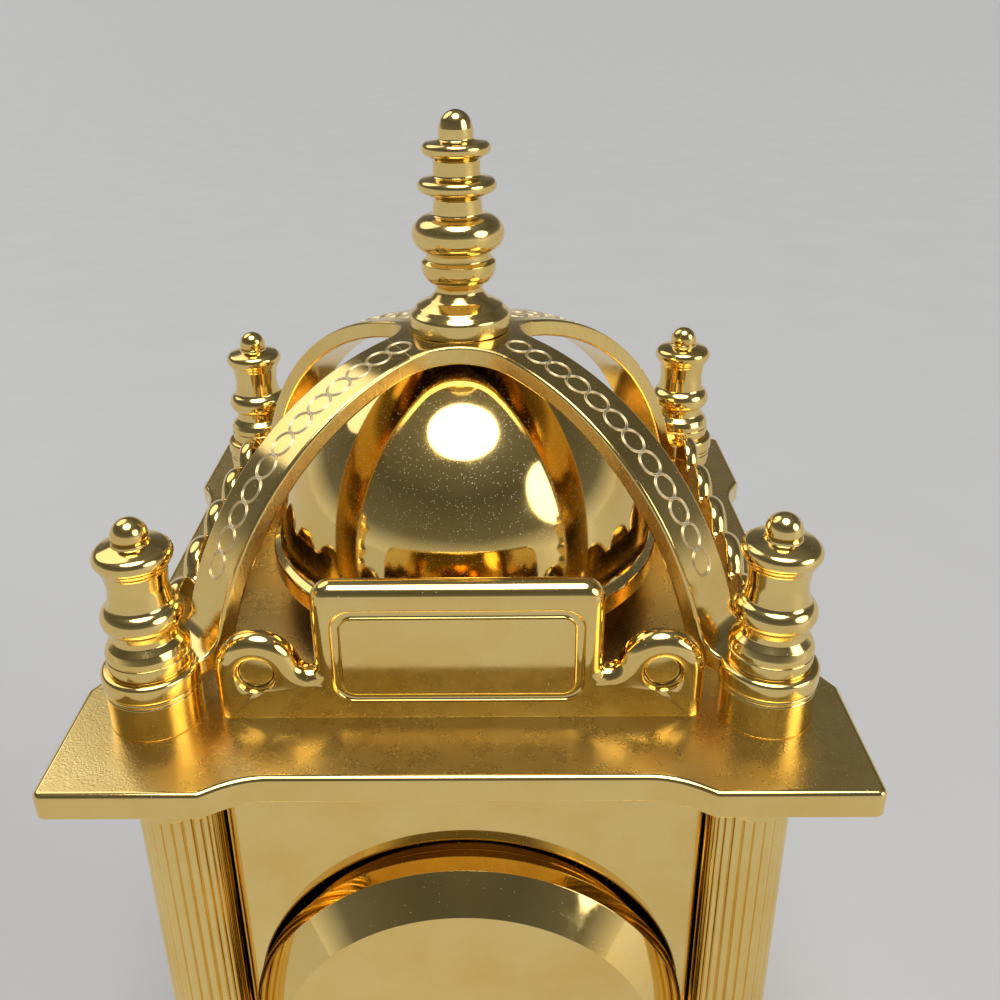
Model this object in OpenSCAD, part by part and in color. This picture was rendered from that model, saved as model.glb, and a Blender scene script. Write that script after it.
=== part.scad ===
// Miniature lantern clock: plates, columns, strapped bell, frets, case and quartz movement.
// Millimetres, +Z up, origin under the feet. The dial faces -Y and the plain rear cover faces +Y.

/* [Plates] */
// How far the plates reach past the post axes at the sides
overhang_x = 7.3; // [5.5:0.1:10]
// How far the plates reach past the post axes at front and rear
overhang_y = 10; // [5.5:0.05:12]
// Thickness of each plate
plate_t = 2.4; // [2:0.1:5]
// Length of each corner ear along the plate's edge
ear_len = 13; // [10:0.5:18]
// How far the edge steps in between the ears
ear_step = 1.8; // [0.5:0.1:3]
// Length of the S-curve from ear to stepped edge
ear_sweep = 5.2; // [1.5:0.1:8]
// Radius of the plate's outer corners
corner_r = 0.8; // [0.2:0.1:3]

/* [Posts] */
// Distance between post axes from side to side
post_span_x = 51.6; // [49:0.2:56]
// Distance between post axes from front to rear
post_span_y = 46.2; // [44:0.2:56]
// Height of the columns between the plates
column_h = 75.2; // [68:0.2:84]
// Diameter over the reeds of a column
column_d = 6.6; // [6:0.1:7.6]
// Number of reeds around a column
reed_count = 20; // [12:1:28]
// How far each reed stands out of the column's core
reed_rise = 0.45; // [0.2:0.05:0.8]
// Height of the plain band at each end of a column
band_h = 7.2; // [0.6:0.1:12]
// How far the bands stand out of the reeds
band_step = 0.1; // [0.05:0.05:0.3]
// Diameter of the studs that hold the posts together
stud_d = 2.6; // [2:0.1:3.4]
// Depth of each stud in the column
stud_grip = 7; // [4:0.5:15]
// Clearance round a fixed stud, tab or panel
fit_gap = 0.05; // [0.02:0.01:0.1]

/* [Feet] */
// Height of the turned feet
foot_h = 9; // [7:0.5:16]
// Diameter of a foot's ball
foot_d = 9.6; // [8:0.2:12]
// Height of the flat collar on top of a foot
foot_collar_h = 1.6; // [1:0.1:3]
// Diameter of the pad that a foot stands on
foot_pad_d = 6; // [4:0.2:8]

/* [Corner finials] */
// Diameter of the plain collar on the top plate
collar_d = 7.9; // [6:0.1:9]
// Height of the plain collar
collar_h = 3.7; // [2:0.1:6]
// Diameter of the finial's base drum
finial_base_d = 7; // [5.6:0.1:8]
// Height of the base drum
finial_base_h = 1.1; // [0.6:0.1:3]
// Height of the small bead above the drum
finial_bead_h = 1.5; // [1:0.1:3]
// Diameter of the groove above and below the large bead
finial_groove_d = 5.8; // [4.6:0.1:6]
// Height of the groove between the two beads
finial_groove_h = 0.8; // [0.4:0.1:2]
// Diameter of the large bead
finial_torus_d = 6.9; // [6:0.1:8]
// Height of the large bead
finial_torus_h = 2.6; // [1.5:0.1:4]
// Diameter of the neck
finial_neck_d = 5; // [4:0.1:5.4]
// Height of the neck
finial_neck_h = 3.1; // [1:0.1:5]
// Diameter of the cap
finial_cap_d = 6.5; // [5.8:0.1:8]
// Height of the cap from its underside to its shoulder
finial_cap_h = 1.9; // [1.4:0.1:4]
// Height of the cap's conical top
finial_cone_h = 1; // [0.4:0.1:2]
// Diameter of the ball knob
finial_knob_d = 3; // [2:0.1:3.6]

/* [Bell straps] */
// Width of each strap arm
strap_w = 4.5; // [3:0.1:6]
// Thickness of the strap
strap_t = 1.7; // [1.2:0.1:2.6]
// Radius of the strap's outer curve
strap_r = 27.6; // [25:0.1:29]
// Distance from a post's axis to the outermost point of the strap's curve
strap_foot = 3.95; // [3.6:0.05:6]
// Height of the strap's top above the top plate
strap_rise = 26.8; // [25:0.1:30]
// Diameter of the eye under each corner finial
eye_d = 8.2; // [7:0.1:9]
// Diameter of the hub where the arms meet
hub_d = 10.6; // [9:0.2:14]

/* [Bell] */
// Radius of the bell's dome
bell_r = 18.5; // [16:0.1:19]
// Diameter of the bell's lip
bell_lip_d = 39; // [37.4:0.2:40]
// Height of the flared lip
bell_lip_h = 1.9; // [0.8:0.1:2.4]
// Gap between the lip and the top plate
bell_gap = 3.6; // [1:0.1:4.4]
// Thickness of the bell's wall
bell_wall = 0.8; // [0.5:0.1:1.5]
// Diameter of the stud through bell, hub and top finial
bell_stud_d = 3; // [2:0.1:3.4]
// Width across the flats of the nut inside the bell
bell_nut_af = 5.5; // [4.5:0.1:7]
// Height of the nut inside the bell
bell_nut_h = 2.4; // [1.5:0.1:4]

/* [Top finial] */
// Diameter of the base disc
top_base_d = 9.6; // [8:0.1:11]
// Height of the base disc
top_base_h = 2.3; // [1:0.1:4]
// Height of the conical flare above the base disc
top_flare_h = 1.4; // [0.8:0.1:3]
// Diameter of the waist
top_waist_d = 4.4; // [4:0.1:5]
// Height of the waist
top_waist_h = 0.7; // [0.3:0.1:2]
// Diameter of the cup's rim
top_cup_d = 7; // [6:0.1:8]
// Height of the cup
top_cup_h = 3; // [1.5:0.1:5]
// Diameter of the large bead
top_torus_d = 8.6; // [7.6:0.1:11]
// Height of the large bead
top_torus_h = 3.3; // [2:0.1:5]
// Diameter of the necks
top_neck_d = 4.4; // [3.6:0.1:5.4]
// Height of each neck
top_neck_h = 2; // [1:0.1:4]
// Diameter of the lower disc
top_lower_disc_d = 7.3; // [6:0.1:9]
// Diameter of the upper disc
top_upper_disc_d = 6.3; // [5.6:0.1:8]
// Thickness of the two discs
top_disc_h = 1.3; // [0.8:0.1:2]
// Diameter of the tip
top_knob_d = 3.2; // [2.4:0.1:4]
// Straight height of the tip under its round end
top_knob_h = 1.1; // [0.5:0.1:3]

/* [Frets] */
// Thickness of the frets
fret_t = 1.8; // [1:0.1:2.6]
// Gap between a front or rear fret and the strap's eyes
fret_end_gap = 1.1; // [0.4:0.1:3]
// Height of the band along a fret's foot
fret_band_h = 4.4; // [3:0.1:6]
// Radius of the round lobe at each end of a fret
lobe_r = 3.6; // [3:0.1:4]
// Height of the lobe's centre
lobe_z = 4.3; // [3.6:0.1:5]
// Radius of the stud in a lobe's eye
lobe_eye_r = 1.5; // [1:0.1:2]
// Depth of the stud's face below the fret's face
lobe_eye_sink = 0.6; // [0.1:0.1:0.8]
// How far the countersink round the stud opens out
lobe_eye_bevel = 0.2; // [0.2:0.05:0.9]
// Width of the raised panel in the middle of a fret
fret_panel_w = 24.2; // [18:0.2:25]
// Height of the raised panel
fret_panel_h = 12.8; // [9:0.1:16]
// Radius of the raised panel's corners
fret_panel_r = 1.8; // [0.5:0.1:4]
// Margin beside the panel's grooved frame
frame_side = 1.6; // [0.8:0.05:4]
// Margin above the panel's grooved frame
frame_top = 2.1; // [0.8:0.1:4]
// Height of the frame's lower edge
frame_z = 1.6; // [0.8:0.1:3]
// Width of the frame's groove
groove_w = 0.9; // [0.4:0.05:1.2]
// Depth of the frame's groove
groove_depth = 0.3; // [0.1:0.05:0.5]
// Radius of the hollow corner beside the raised panel
notch_r = 1; // [0.4:0.1:1.2]
// Number of scallops along a side fret
scallop_count = 5; // [3:1:6]
// Gap between a side fret and the strap's eyes
scallop_end_gap = 0.45; // [0.3:0.05:3]
// Radius of each scallop
scallop_r = 3.3; // [2.6:0.1:3.5]
// Height of a scallop's centre
scallop_z = 4.8; // [3.5:0.1:6]
// Distance between the two tabs of a fret
tab_span = 24; // [16:0.5:30]
// Length of each tab
tab_len = 4; // [2:0.5:6]
// Depth of each tab in the top plate
tab_depth = 1.6; // [0.8:0.1:2]

/* [Case] */
// Distance from the post axes in to the side panels' faces
case_inset_x = 3.6; // [3.4:0.05:5]
// Distance from the post axes in to the front and rear panels' faces
case_inset_y = 2.7; // [2.4:0.05:5]
// How far the side panels stand outside the ends of the rear and front panels
side_proud = 1.7; // [1.3:0.05:1.9]
// How far the ends of the side panels stand in from the rear panel's face
side_set_back = 0.5; // [0.3:0.05:3]
// Thickness of the panels
panel_t = 1.2; // [0.8:0.1:1.6]
// Depth of the grooves that hold the panels in the plates
slot_depth = 1; // [0.5:0.1:1.6]
// Width of panel left beside the round openings at front and rear
opening_margin = 2.9; // [2:0.1:4]

/* [Rear cover] */
// How far the necks of cover and bezel lap over the panel
rim_lap = 1.05; // [0.9:0.05:1.4]
// Height of the neck that holds the ring off the panel
cover_gap = 1; // [0.6:0.1:2]
// How far the ring stands out beyond the neck
cover_ring = 1.3; // [0.6:0.05:1.4]
// Height of the ring's wall
cover_wall_h = 1.5; // [1:0.1:3]
// How far the ring's wall draws in over its height
cover_draft = 0.35; // [0.1:0.05:0.8]
// Height of the bevel round the flat face
cover_cone_h = 2.8; // [1.6:0.1:5]
// How far the bevel draws in to the flat face
cover_bevel = 2.9; // [0.5:0.05:4]
// Thickness of the cover's walls
cover_t = 1.1; // [0.8:0.1:1.2]
// Length of the skirt inside the opening
cover_skirt = 4; // [2:0.5:8]
// Running clearance between the skirt and the opening
skirt_gap = 0.06; // [0.02:0.01:0.1]

/* [Dial] */
// Gap between the dial plate and the side panels
dial_side_gap = 0.8; // [0.3:0.1:2]
// Height of the dial plate
dial_h = 46; // [42:0.5:60]
// Thickness of the dial plate
dial_t = 0.8; // [0.5:0.1:1.5]
// Height of the bezel in front of the front panel
bezel_h = 6.8; // [6.4:0.1:9]
// How far the bezel's edge laps over the glass
glass_lap = 0.84; // [0.4:0.02:2]
// Thickness of the glass
glass_t = 1.2; // [0.8:0.1:1.5]
// Length of the hour hand
hour_len = 9.5; // [6:0.5:12]
// Length of the minute hand
minute_len = 14.5; // [9:0.5:16]
// Thickness of the hands
hand_t = 0.5; // [0.3:0.1:0.7]
// Width of a hand at its boss
hand_w = 1.6; // [1:0.1:2.5]
// Diameter of the dial screws' heads
dial_screw_d = 2.6; // [2:0.1:3.2]
// Distance of the dial screws in from the dial plate's edges
dial_screw_inset = 2; // [1.6:0.1:3]

/* [Movement] */
// Diameter of the movement's case
move_d = 35; // [35:0.5:37]
// Thickness of the movement's walls
move_wall = 1.2; // [0.8:0.1:1.5]
// Diameter of the threaded bush
bush_d = 8; // [7.4:0.1:9]
// Length of the bush in front of the dial
bush_len = 2.8; // [2.2:0.1:3]
// Width across the flats of the fixing nut
nut_af = 11; // [10:0.5:13]
// Height of the fixing nut
nut_h = 1.6; // [1:0.1:2]
// Radius of the centre arbor
arbor_r = 1.2; // [0.8:0.05:1.3]
// Radius of the hour pipe
pipe_r = 2.6; // [2:0.05:3]
// Running clearance of the arbors
run_gap = 0.05; // [0.02:0.01:0.1]
// Module of the motion-work gears
motion_module = 0.4; // [0.38:0.01:0.42]
// Module of the going-train gears
train_module = 0.22; // [0.2:0.01:0.24]
// Radius of the wheels' thin pivots
pivot_r = 0.4; // [0.25:0.05:0.55]
// Distance between the two layers of the motion work
motion_layer = 2; // [1.6:0.1:2.6]
// Distance from the minute wheel's layer to the bridge
bridge_room = 1.6; // [1.2:0.1:2.2]
// Thickness of the train's wheels
wheel_t = 0.6; // [0.4:0.05:0.65]
// Diameter of the button cell
cell_d = 11.6; // [9.5:0.1:11.6]
// Thickness of the button cell
cell_t = 5.2; // [3:0.1:5.2]
// Diameter of the setting knob
knob_d = 6; // [4:0.2:8]
// Thickness of the setting knob
knob_t = 2.5; // [1.5:0.1:4]

/* [Hidden] */
$fn = 48;
far = 200;
cut_over = 2;
gold = "goldenrod";
steel = "silver";
plastic = "gainsboro";

// Teeth: the share of each pitch that is metal, and the leaf counts
tooth_share = 0.42;
cannon_teeth = 10;
minute_teeth = 30;
minute_leaves = 8;
hour_teeth = 32;
train_teeth = 48;
train_leaves = 8;

// Heights of the frame
base_z = foot_h;
case_z = base_z + plate_t;
top_z = case_z + column_h;
roof_z = top_z + plate_t;
dial_z = case_z + column_h / 2;
post_x = post_span_x / 2;
post_y = post_span_y / 2;
post_reach = sqrt(post_x * post_x + post_y * post_y);
plate_w = post_span_x + 2 * overhang_x;
plate_d = post_span_y + 2 * overhang_y;
stud_r = stud_d / 2;
corners = [[-1, -1], [1, -1], [-1, 1], [1, 1]];

// Reeds are this much wider than their pitch, so that neighbours meet in a crisp groove
reed_lap = 1.15;

// Heights of the corner posts above the roof
eye_z = roof_z + collar_h;
finial_z = eye_z + strap_t;
bead_z = finial_z + finial_base_h;
groove_z = bead_z + finial_bead_h;
torus_z = groove_z + finial_groove_h;
neck_z = torus_z + finial_torus_h;
cap_z = neck_z + finial_neck_h;
cone_z = cap_z + finial_cap_h;
knob_z = cone_z + finial_cone_h;

// Bell straps and bell
hub_z = roof_z + strap_rise;
hub_under_z = hub_z - strap_t;
strap_centre_z = hub_z - strap_r;
strap_offset = max(0, post_reach - strap_foot - strap_r);
bell_centre_z = hub_under_z - bell_r;
bell_lip_z = roof_z + bell_gap;
bell_nut_r = bell_nut_af / 2 / cos(30);
bell_inner_r = bell_r - bell_wall;
bell_nut_top_z = bell_centre_z + sqrt(bell_inner_r * bell_inner_r - bell_nut_r * bell_nut_r) - 0.02;
bell_stud_low_z = bell_nut_top_z - bell_nut_h - 0.8;
bell_stud_top_z = hub_z + top_base_h + top_flare_h + top_waist_h;
bell_stud_r = bell_stud_d / 2;

// Levels of the top finial
flare_z = hub_z + top_base_h;
waist_z = flare_z + top_flare_h;
cup_z = waist_z + top_waist_h;
big_bead_z = cup_z + top_cup_h;
low_neck_z = big_bead_z + top_torus_h;
low_disc_z = low_neck_z + top_neck_h;
high_neck_z = low_disc_z + top_disc_h;
high_disc_z = high_neck_z + top_neck_h;
tip_z = high_disc_z + top_disc_h;

// Frets stand on the lines between the collars
fret_y = post_y;
side_fret_x = post_x;
fret_len = post_span_x - eye_d - 2 * fret_end_gap;
lobe_x = fret_len / 2 - lobe_r;
frame_w = fret_panel_w - 2 * frame_side;
frame_h = fret_panel_h - frame_z - frame_top;
scallop_run = post_span_y - eye_d - 2 * scallop_end_gap - 2 * scallop_r;

// Case panels
case_w = post_span_x - 2 * case_inset_x;
case_d = post_span_y - 2 * case_inset_y;
side_panel_x = case_w / 2 + side_proud - panel_t / 2;
side_panel_len = case_d - 2 * side_set_back;
panel_low_z = case_z - slot_depth + fit_gap;
panel_h = column_h + 2 * slot_depth - 2 * fit_gap;
rear_y = case_d / 2;
front_y = -case_d / 2;
opening_d = case_w - 2 * opening_margin;
opening_r = opening_d / 2;
skirt_r = opening_r - skirt_gap;
cover_neck_r = opening_r + rim_lap;
cover_ring_r = cover_neck_r + cover_ring;
cover_edge_r = cover_ring_r - cover_draft;
cover_face_r = cover_edge_r - cover_bevel;
cover_cone_z = cover_gap + cover_wall_h;
cover_h = cover_cone_z + cover_cone_h;

// Dial side, from the front panel inwards and outwards
dial_front_y = front_y + panel_t;
dial_back_y = dial_front_y + dial_t;
glass_seat = 1;
glass_r = skirt_r - 0.8;
view_r = glass_r - glass_lap;
bezel_skirt = panel_t - 0.2;
dial_w = case_w - 2 * panel_t - 2 * dial_side_gap;
dial_screw_x = dial_w / 2 - dial_screw_inset;
dial_screw_z = dial_h / 2 - dial_screw_inset;
dial_screw_r = 0.7;
dial_screw_grip = panel_t - 0.4;

// Movement layers, from the dial towards the rear
move_r = move_d / 2;
move_inner_r = move_r - move_wall;
bush_r = bush_d / 2;
bush_tip_y = dial_front_y - bush_len;
hour_hand_y = bush_tip_y - 0.2;
minute_hand_y = hour_hand_y - hand_t - 0.7;
arbor_tip_y = minute_hand_y - hand_t - 0.4;
cavity_y = dial_back_y + move_wall;
hour_wheel_y = cavity_y + 0.5;
minute_wheel_y = hour_wheel_y + motion_layer;
bridge_y = minute_wheel_y + bridge_room;
bridge_t = 0.8;
centre_layer_y = bridge_y + bridge_t + 0.3;
third_layer_y = centre_layer_y + wheel_t + 0.6;
reduction_layer_y = third_layer_y + wheel_t + 0.6;
rotor_layer_y = reduction_layer_y + wheel_t + 0.4;
rotor_len = 1.2;
back_y = rotor_layer_y + rotor_len + 0.6;
back_out_y = back_y + move_wall;
stator_y = rotor_layer_y + 0.3;
stator_t = 0.6;
cell_y = back_out_y - 0.2 - cell_t;

// Places of the arbors round the dial's centre
motion_distance = (cannon_teeth + minute_teeth) * motion_module / 2;
train_distance = (train_teeth + train_leaves) * train_module / 2;
minute_at = [motion_distance, 0];
third_turn = 150;
reduction_turn = 50;
rotor_turn = -20;
third_at = train_distance * [cos(third_turn), sin(third_turn)];
reduction_at = third_at + train_distance * [cos(reduction_turn), sin(reduction_turn)];
rotor_at = reduction_at + train_distance * [cos(rotor_turn), sin(rotor_turn)];
rotor_r = 1.6;
cell_turn = 243;
cell_r = cell_d / 2;
cell_reach = move_inner_r - cell_r - 0.3;
cell_at = cell_reach * [cos(cell_turn), sin(cell_turn)];
bridge_posts = [90, 210, 330];
bridge_post_reach = move_inner_r - 1.5;
coil_at = [12.2, 0];
coil_r = 1.6;
coil_len = 12;
coil_y = stator_y - coil_r - 0.1;
stator_hole_r = rotor_r + 0.3;
stator_rim = 0.9;
stator_arm = 2.6;
stator_back = 4;
stator_left = rotor_at[0] - stator_hole_r - stator_rim;
stator_top = rotor_at[1] + stator_hole_r + stator_rim;
stator_inner = rotor_at[1] - stator_hole_r - stator_rim;
stator_right = coil_at[0] + 1.2;
stator_low = -8.2;
board_left = -14;
board_right = -7.4;
board_low = -2;
board_top = 7.2;
board_y = reduction_layer_y + wheel_t + 0.5;
board_t = 0.6;
crystal_at = [-12.6, 1.5];
crystal_r = 0.9;
crystal_len = 6;

// Helpers

// A turned piece about Z from a profile in the right half plane
module turned() {
    rotate_extrude()
        intersection() {
            children();
            translate([0, -far]) square([far, 3 * far]);
        }
}

// A bead of outer diameter d that fills the height h
module bead(d, z, h) {
    translate([d / 2 - h / 2, z + h / 2]) circle(d = h);
    translate([0, z]) square([d / 2 - h / 2, h]);
}

module drum(d, z, h) {
    translate([0, z]) square([d / 2, h]);
}

module taper(d_low, d_high, z, h) {
    polygon([[0, z], [d_low / 2, z], [d_high / 2, z + h], [0, z + h]]);
}

// A flat shape in the X-Z plane, extruded from y0 to y1
module upright(y0, y1) {
    translate([0, y1, 0]) rotate([90, 0, 0]) linear_extrude(y1 - y0) children();
}

// A round bar along Y
module rod(y0, y1, r) {
    translate([0, y0, 0]) rotate([-90, 0, 0]) cylinder(r = r, h = y1 - y0);
}

// Moves a shape to a place on the dial's face
module at_dial(place = [0, 0]) {
    translate([place[0], 0, dial_z + place[1]]) children();
}

// A turned piece about Y, from a profile of radius and distance outwards
module facing_rear(y) {
    translate([0, y, dial_z]) rotate([-90, 0, 0]) turned() children();
}

module facing_front(y) {
    translate([0, y, dial_z]) rotate([90, 0, 0]) turned() children();
}

module at_posts() {
    for (c = corners) translate([c[0] * post_x, c[1] * post_y, 0]) children();
}

// Share of the step fallen along the sweep: quick at the ear, slow towards the stepped edge
function ear_fall(t) = ear_step * (1 - cos(180 * pow(t, 0.6))) / 2;

// One edge of a plate from its right-hand corner to its left: ear, S-curve, stepped edge, S-curve, ear
function edge_points(w, d) = concat(
    [for (a = [0 : 15 : 90]) [w / 2 - corner_r + corner_r * cos(a), d / 2 - corner_r + corner_r * sin(a)]],
    [for (t = [0 : 0.125 : 1]) [w / 2 - ear_len - ear_sweep * t, d / 2 - ear_fall(t)]],
    [for (t = [1 : -0.125 : 0]) [-w / 2 + ear_len + ear_sweep * t, d / 2 - ear_fall(t)]]
);

function turn(points, a) = [for (p = points) [p[0] * cos(a) - p[1] * sin(a), p[0] * sin(a) + p[1] * cos(a)]];

module plate_outline() {
    polygon(concat(
        edge_points(plate_w, plate_d),
        turn(edge_points(plate_d, plate_w), 90),
        turn(edge_points(plate_w, plate_d), 180),
        turn(edge_points(plate_d, plate_w), 270)
    ));
}

// The groove in a plate that the four panels stand in
module panel_slot() {
    size_gap = 2 * fit_gap;
    linear_extrude(slot_depth)
        for (s = [-1, 1]) {
            translate([0, s * (case_d - panel_t) / 2])
                square([case_w + size_gap, panel_t + size_gap], center = true);
            translate([s * side_panel_x, 0])
                square([panel_t + size_gap, side_panel_len + size_gap], center = true);
        }
}

module stud_hole(z, h) {
    translate([0, 0, z]) cylinder(r = stud_r + fit_gap, h = h);
}

// One gear outline: radial flanks and rounded tips
function gear_points(n, m, tip) = let (
    r = n * m / 2,
    pitch = 360 / n,
    half = pitch * tooth_share / 2,
    root = r - 1.25 * m
) [for (i = [0 : n - 1], p = [
    [root, -half], [r, -half], [r + 0.55 * tip * m, -0.75 * half], [r + tip * m, -0.3 * half],
    [r + tip * m, 0.3 * half], [r + 0.55 * tip * m, 0.75 * half], [r, half], [root, half]
]) p[0] * [cos(i * pitch + p[1]), sin(i * pitch + p[1])]];

module wheel_outline(n, m, turned_by) {
    rotate(turned_by) polygon(gear_points(n, m, 0.9));
}

module pinion_outline(n, m, turned_by) {
    rotate(turned_by) polygon(gear_points(n, m, 0.6));
}

module rounded_rect(w, h, r) {
    translate([-w / 2 + r, 0]) square([w - 2 * r, h]);
    translate([-w / 2, r]) square([w, h - 2 * r]);
    for (x = [-1, 1], z = [r, h - r]) translate([x * (w / 2 - r), z]) circle(r = r);
}

module rounded_frame(w, h, r) {
    difference() {
        rounded_rect(w, h, r);
        translate([0, groove_w]) rounded_rect(w - 2 * groove_w, h - 2 * groove_w, r - groove_w / 2);
    }
}

// Frame

module base_plate() {
    color(gold)
    difference() {
        translate([0, 0, base_z]) linear_extrude(plate_t) plate_outline();
        at_posts() stud_hole(base_z - 1, plate_t + 2);
        translate([0, 0, case_z - slot_depth]) panel_slot();
    }
}

module top_plate() {
    color(gold)
    difference() {
        translate([0, 0, top_z]) linear_extrude(plate_t) plate_outline();
        at_posts() stud_hole(top_z - 1, plate_t + 2);
        translate([0, 0, top_z]) panel_slot();
        translate([0, 0, roof_z - tab_depth]) fret_slots();
    }
}

module fret_slots() {
    size_gap = 2 * fit_gap;
    for (s = [-1, 1], t = [-1, 1]) {
        translate([t * tab_span / 2, s * fret_y, tab_depth])
            cube([tab_len + size_gap, fret_t + size_gap, 2 * tab_depth], center = true);
        translate([s * side_fret_x, t * tab_span / 2, tab_depth])
            cube([fret_t + size_gap, tab_len + size_gap, 2 * tab_depth], center = true);
    }
}

// A turned ball foot with its stud through the base plate into the column
module foot(c) {
    color(gold)
    translate([c[0] * post_x, c[1] * post_y, 0]) {
        intersection() {
            translate([0, 0, (foot_h - foot_collar_h) / 2]) sphere(d = foot_d);
            cylinder(d = 2 * foot_d, h = foot_h - foot_collar_h);
        }
        cylinder(d = foot_pad_d, h = foot_h);
        translate([0, 0, foot_h - foot_collar_h]) cylinder(d = collar_d, h = foot_collar_h);
        cylinder(r = stud_r, h = case_z + stud_grip);
    }
}

// A reeded column with a plain band and a stud hole at each end
module column(c) {
    core_r = column_d / 2 - reed_rise;
    reed_r = reed_lap * PI * core_r / reed_count;
    reed_reach = column_d / 2 - band_step;
    color(gold)
    translate([c[0] * post_x, c[1] * post_y, case_z])
        difference() {
            union() {
                linear_extrude(column_h) {
                    circle(r = core_r);
                    for (i = [0 : reed_count - 1])
                        rotate(i * 360 / reed_count) translate([reed_reach - reed_r, 0]) circle(r = reed_r);
                }
                cylinder(d = column_d, h = band_h);
                translate([0, 0, column_h - band_h]) cylinder(d = column_d, h = band_h);
            }
            stud_hole(-1, stud_grip + 1.5);
            stud_hole(column_h - stud_grip - 0.5, stud_grip + 1.5);
        }
}

module collar(c) {
    color(gold)
    translate([c[0] * post_x, c[1] * post_y, roof_z])
        difference() {
            cylinder(d = collar_d, h = collar_h);
            stud_hole(-1, collar_h + 2);
        }
}

// A turned corner finial with its stud through eye, collar and plate into the column
module corner_finial(c) {
    torus_r = finial_torus_h / 2;
    color(gold)
    translate([c[0] * post_x, c[1] * post_y, 0]) {
        turned() {
            drum(finial_base_d, finial_z, finial_base_h);
            bead(finial_base_d, bead_z, finial_bead_h);
            drum(finial_groove_d, groove_z, finial_groove_h);
            bead(finial_torus_d, torus_z, finial_torus_h);
            drum(finial_neck_d, neck_z - torus_r / 2, finial_neck_h + torus_r / 2);
            taper(finial_neck_d, finial_cap_d - 0.4, cap_z, finial_cap_h / 2);
            bead(finial_cap_d, cap_z + finial_cap_h / 3, finial_cap_h * 2 / 3);
            taper(finial_cap_d - finial_cap_h / 2, finial_knob_d * 0.8, cone_z, finial_cone_h);
        }
        translate([0, 0, knob_z]) sphere(d = finial_knob_d);
        translate([0, 0, top_z - stud_grip]) cylinder(r = stud_r, h = finial_z + 1 - top_z + stud_grip);
    }
}

// Bell, its straps and the top finial

// Outline of one strap arm: distance from the axis, height above the roof
module arm_outline() {
    band_reach = strap_offset + sqrt(pow(strap_r, 2) - pow(eye_z - strap_centre_z, 2));
    intersection() {
        translate([strap_offset, strap_centre_z])
            difference() {
                circle(r = strap_r, $fn = 96);
                circle(r = strap_r - strap_t, $fn = 96);
            }
        translate([strap_offset, eye_z]) square([far, far]);
    }
    translate([band_reach - strap_t, eye_z]) square([post_reach - band_reach + strap_t, strap_t]);
    translate([0, hub_under_z]) square([strap_offset + 0.5, strap_t]);
}

module bell_strap() {
    color(gold)
    difference() {
        union() {
            for (c = corners)
                rotate([0, 0, atan2(c[1] * post_y, c[0] * post_x)])
                    upright(-strap_w / 2, strap_w / 2) arm_outline();
            at_posts() translate([0, 0, eye_z]) cylinder(d = eye_d, h = strap_t);
            translate([0, 0, hub_under_z]) cylinder(d = hub_d, h = strap_t);
        }
        at_posts() stud_hole(eye_z - 1, strap_t + 2);
        translate([0, 0, hub_under_z - strap_t]) cylinder(r = bell_stud_r + fit_gap, h = 3 * strap_t);
    }
}

// Half section of the bell: dome, flare and upright lip
module bell_outline(dome_r, lip_r, low_z) {
    intersection() {
        translate([0, bell_centre_z]) circle(r = dome_r, $fn = 96);
        translate([0, bell_centre_z]) square([far, far]);
    }
    polygon([
        [0, low_z], [lip_r, low_z], [lip_r, bell_lip_z + bell_lip_h],
        [dome_r, bell_centre_z], [0, bell_centre_z]
    ]);
}

module bell() {
    color(gold)
    difference() {
        turned()
            difference() {
                bell_outline(bell_r, bell_lip_d / 2, bell_lip_z);
                bell_outline(bell_inner_r, bell_lip_d / 2 - bell_wall, bell_lip_z - 1);
            }
        translate([0, 0, bell_centre_z]) cylinder(r = bell_stud_r + fit_gap, h = 2 * bell_r);
    }
}

module bell_stud() {
    color(steel)
    translate([0, 0, bell_stud_low_z]) cylinder(r = bell_stud_r, h = bell_stud_top_z - bell_stud_low_z);
}

module bell_nut() {
    color(steel)
    translate([0, 0, bell_nut_top_z - bell_nut_h])
        difference() {
            cylinder(r = bell_nut_r, h = bell_nut_h, $fn = 6);
            translate([0, 0, -1]) cylinder(r = bell_stud_r + fit_gap, h = bell_nut_h + 2);
        }
}

module top_finial() {
    color(gold)
    difference() {
        union() {
            turned() {
                drum(top_base_d, hub_z, top_base_h);
                taper(top_base_d - 1.6, top_waist_d, flare_z, top_flare_h);
                drum(top_waist_d, waist_z, top_waist_h);
                taper(top_waist_d + 0.4, top_cup_d - 0.6, cup_z, top_cup_h * 0.4);
                taper(top_cup_d - 0.6, top_cup_d, cup_z + top_cup_h * 0.4, top_cup_h * 0.6);
                bead(top_torus_d, big_bead_z, top_torus_h);
                drum(top_neck_d, low_neck_z - 0.5, top_neck_h + 0.5);
                bead(top_lower_disc_d, low_disc_z, top_disc_h);
                drum(top_neck_d - 0.3, high_neck_z, top_neck_h);
                bead(top_upper_disc_d, high_disc_z, top_disc_h);
                drum(top_knob_d, tip_z, top_knob_h);
            }
            translate([0, 0, tip_z + top_knob_h]) sphere(d = top_knob_d);
        }
        translate([0, 0, hub_z - 1]) cylinder(r = bell_stud_r + fit_gap, h = bell_stud_top_z - hub_z + 1.5);
    }
}

// Frets

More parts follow.
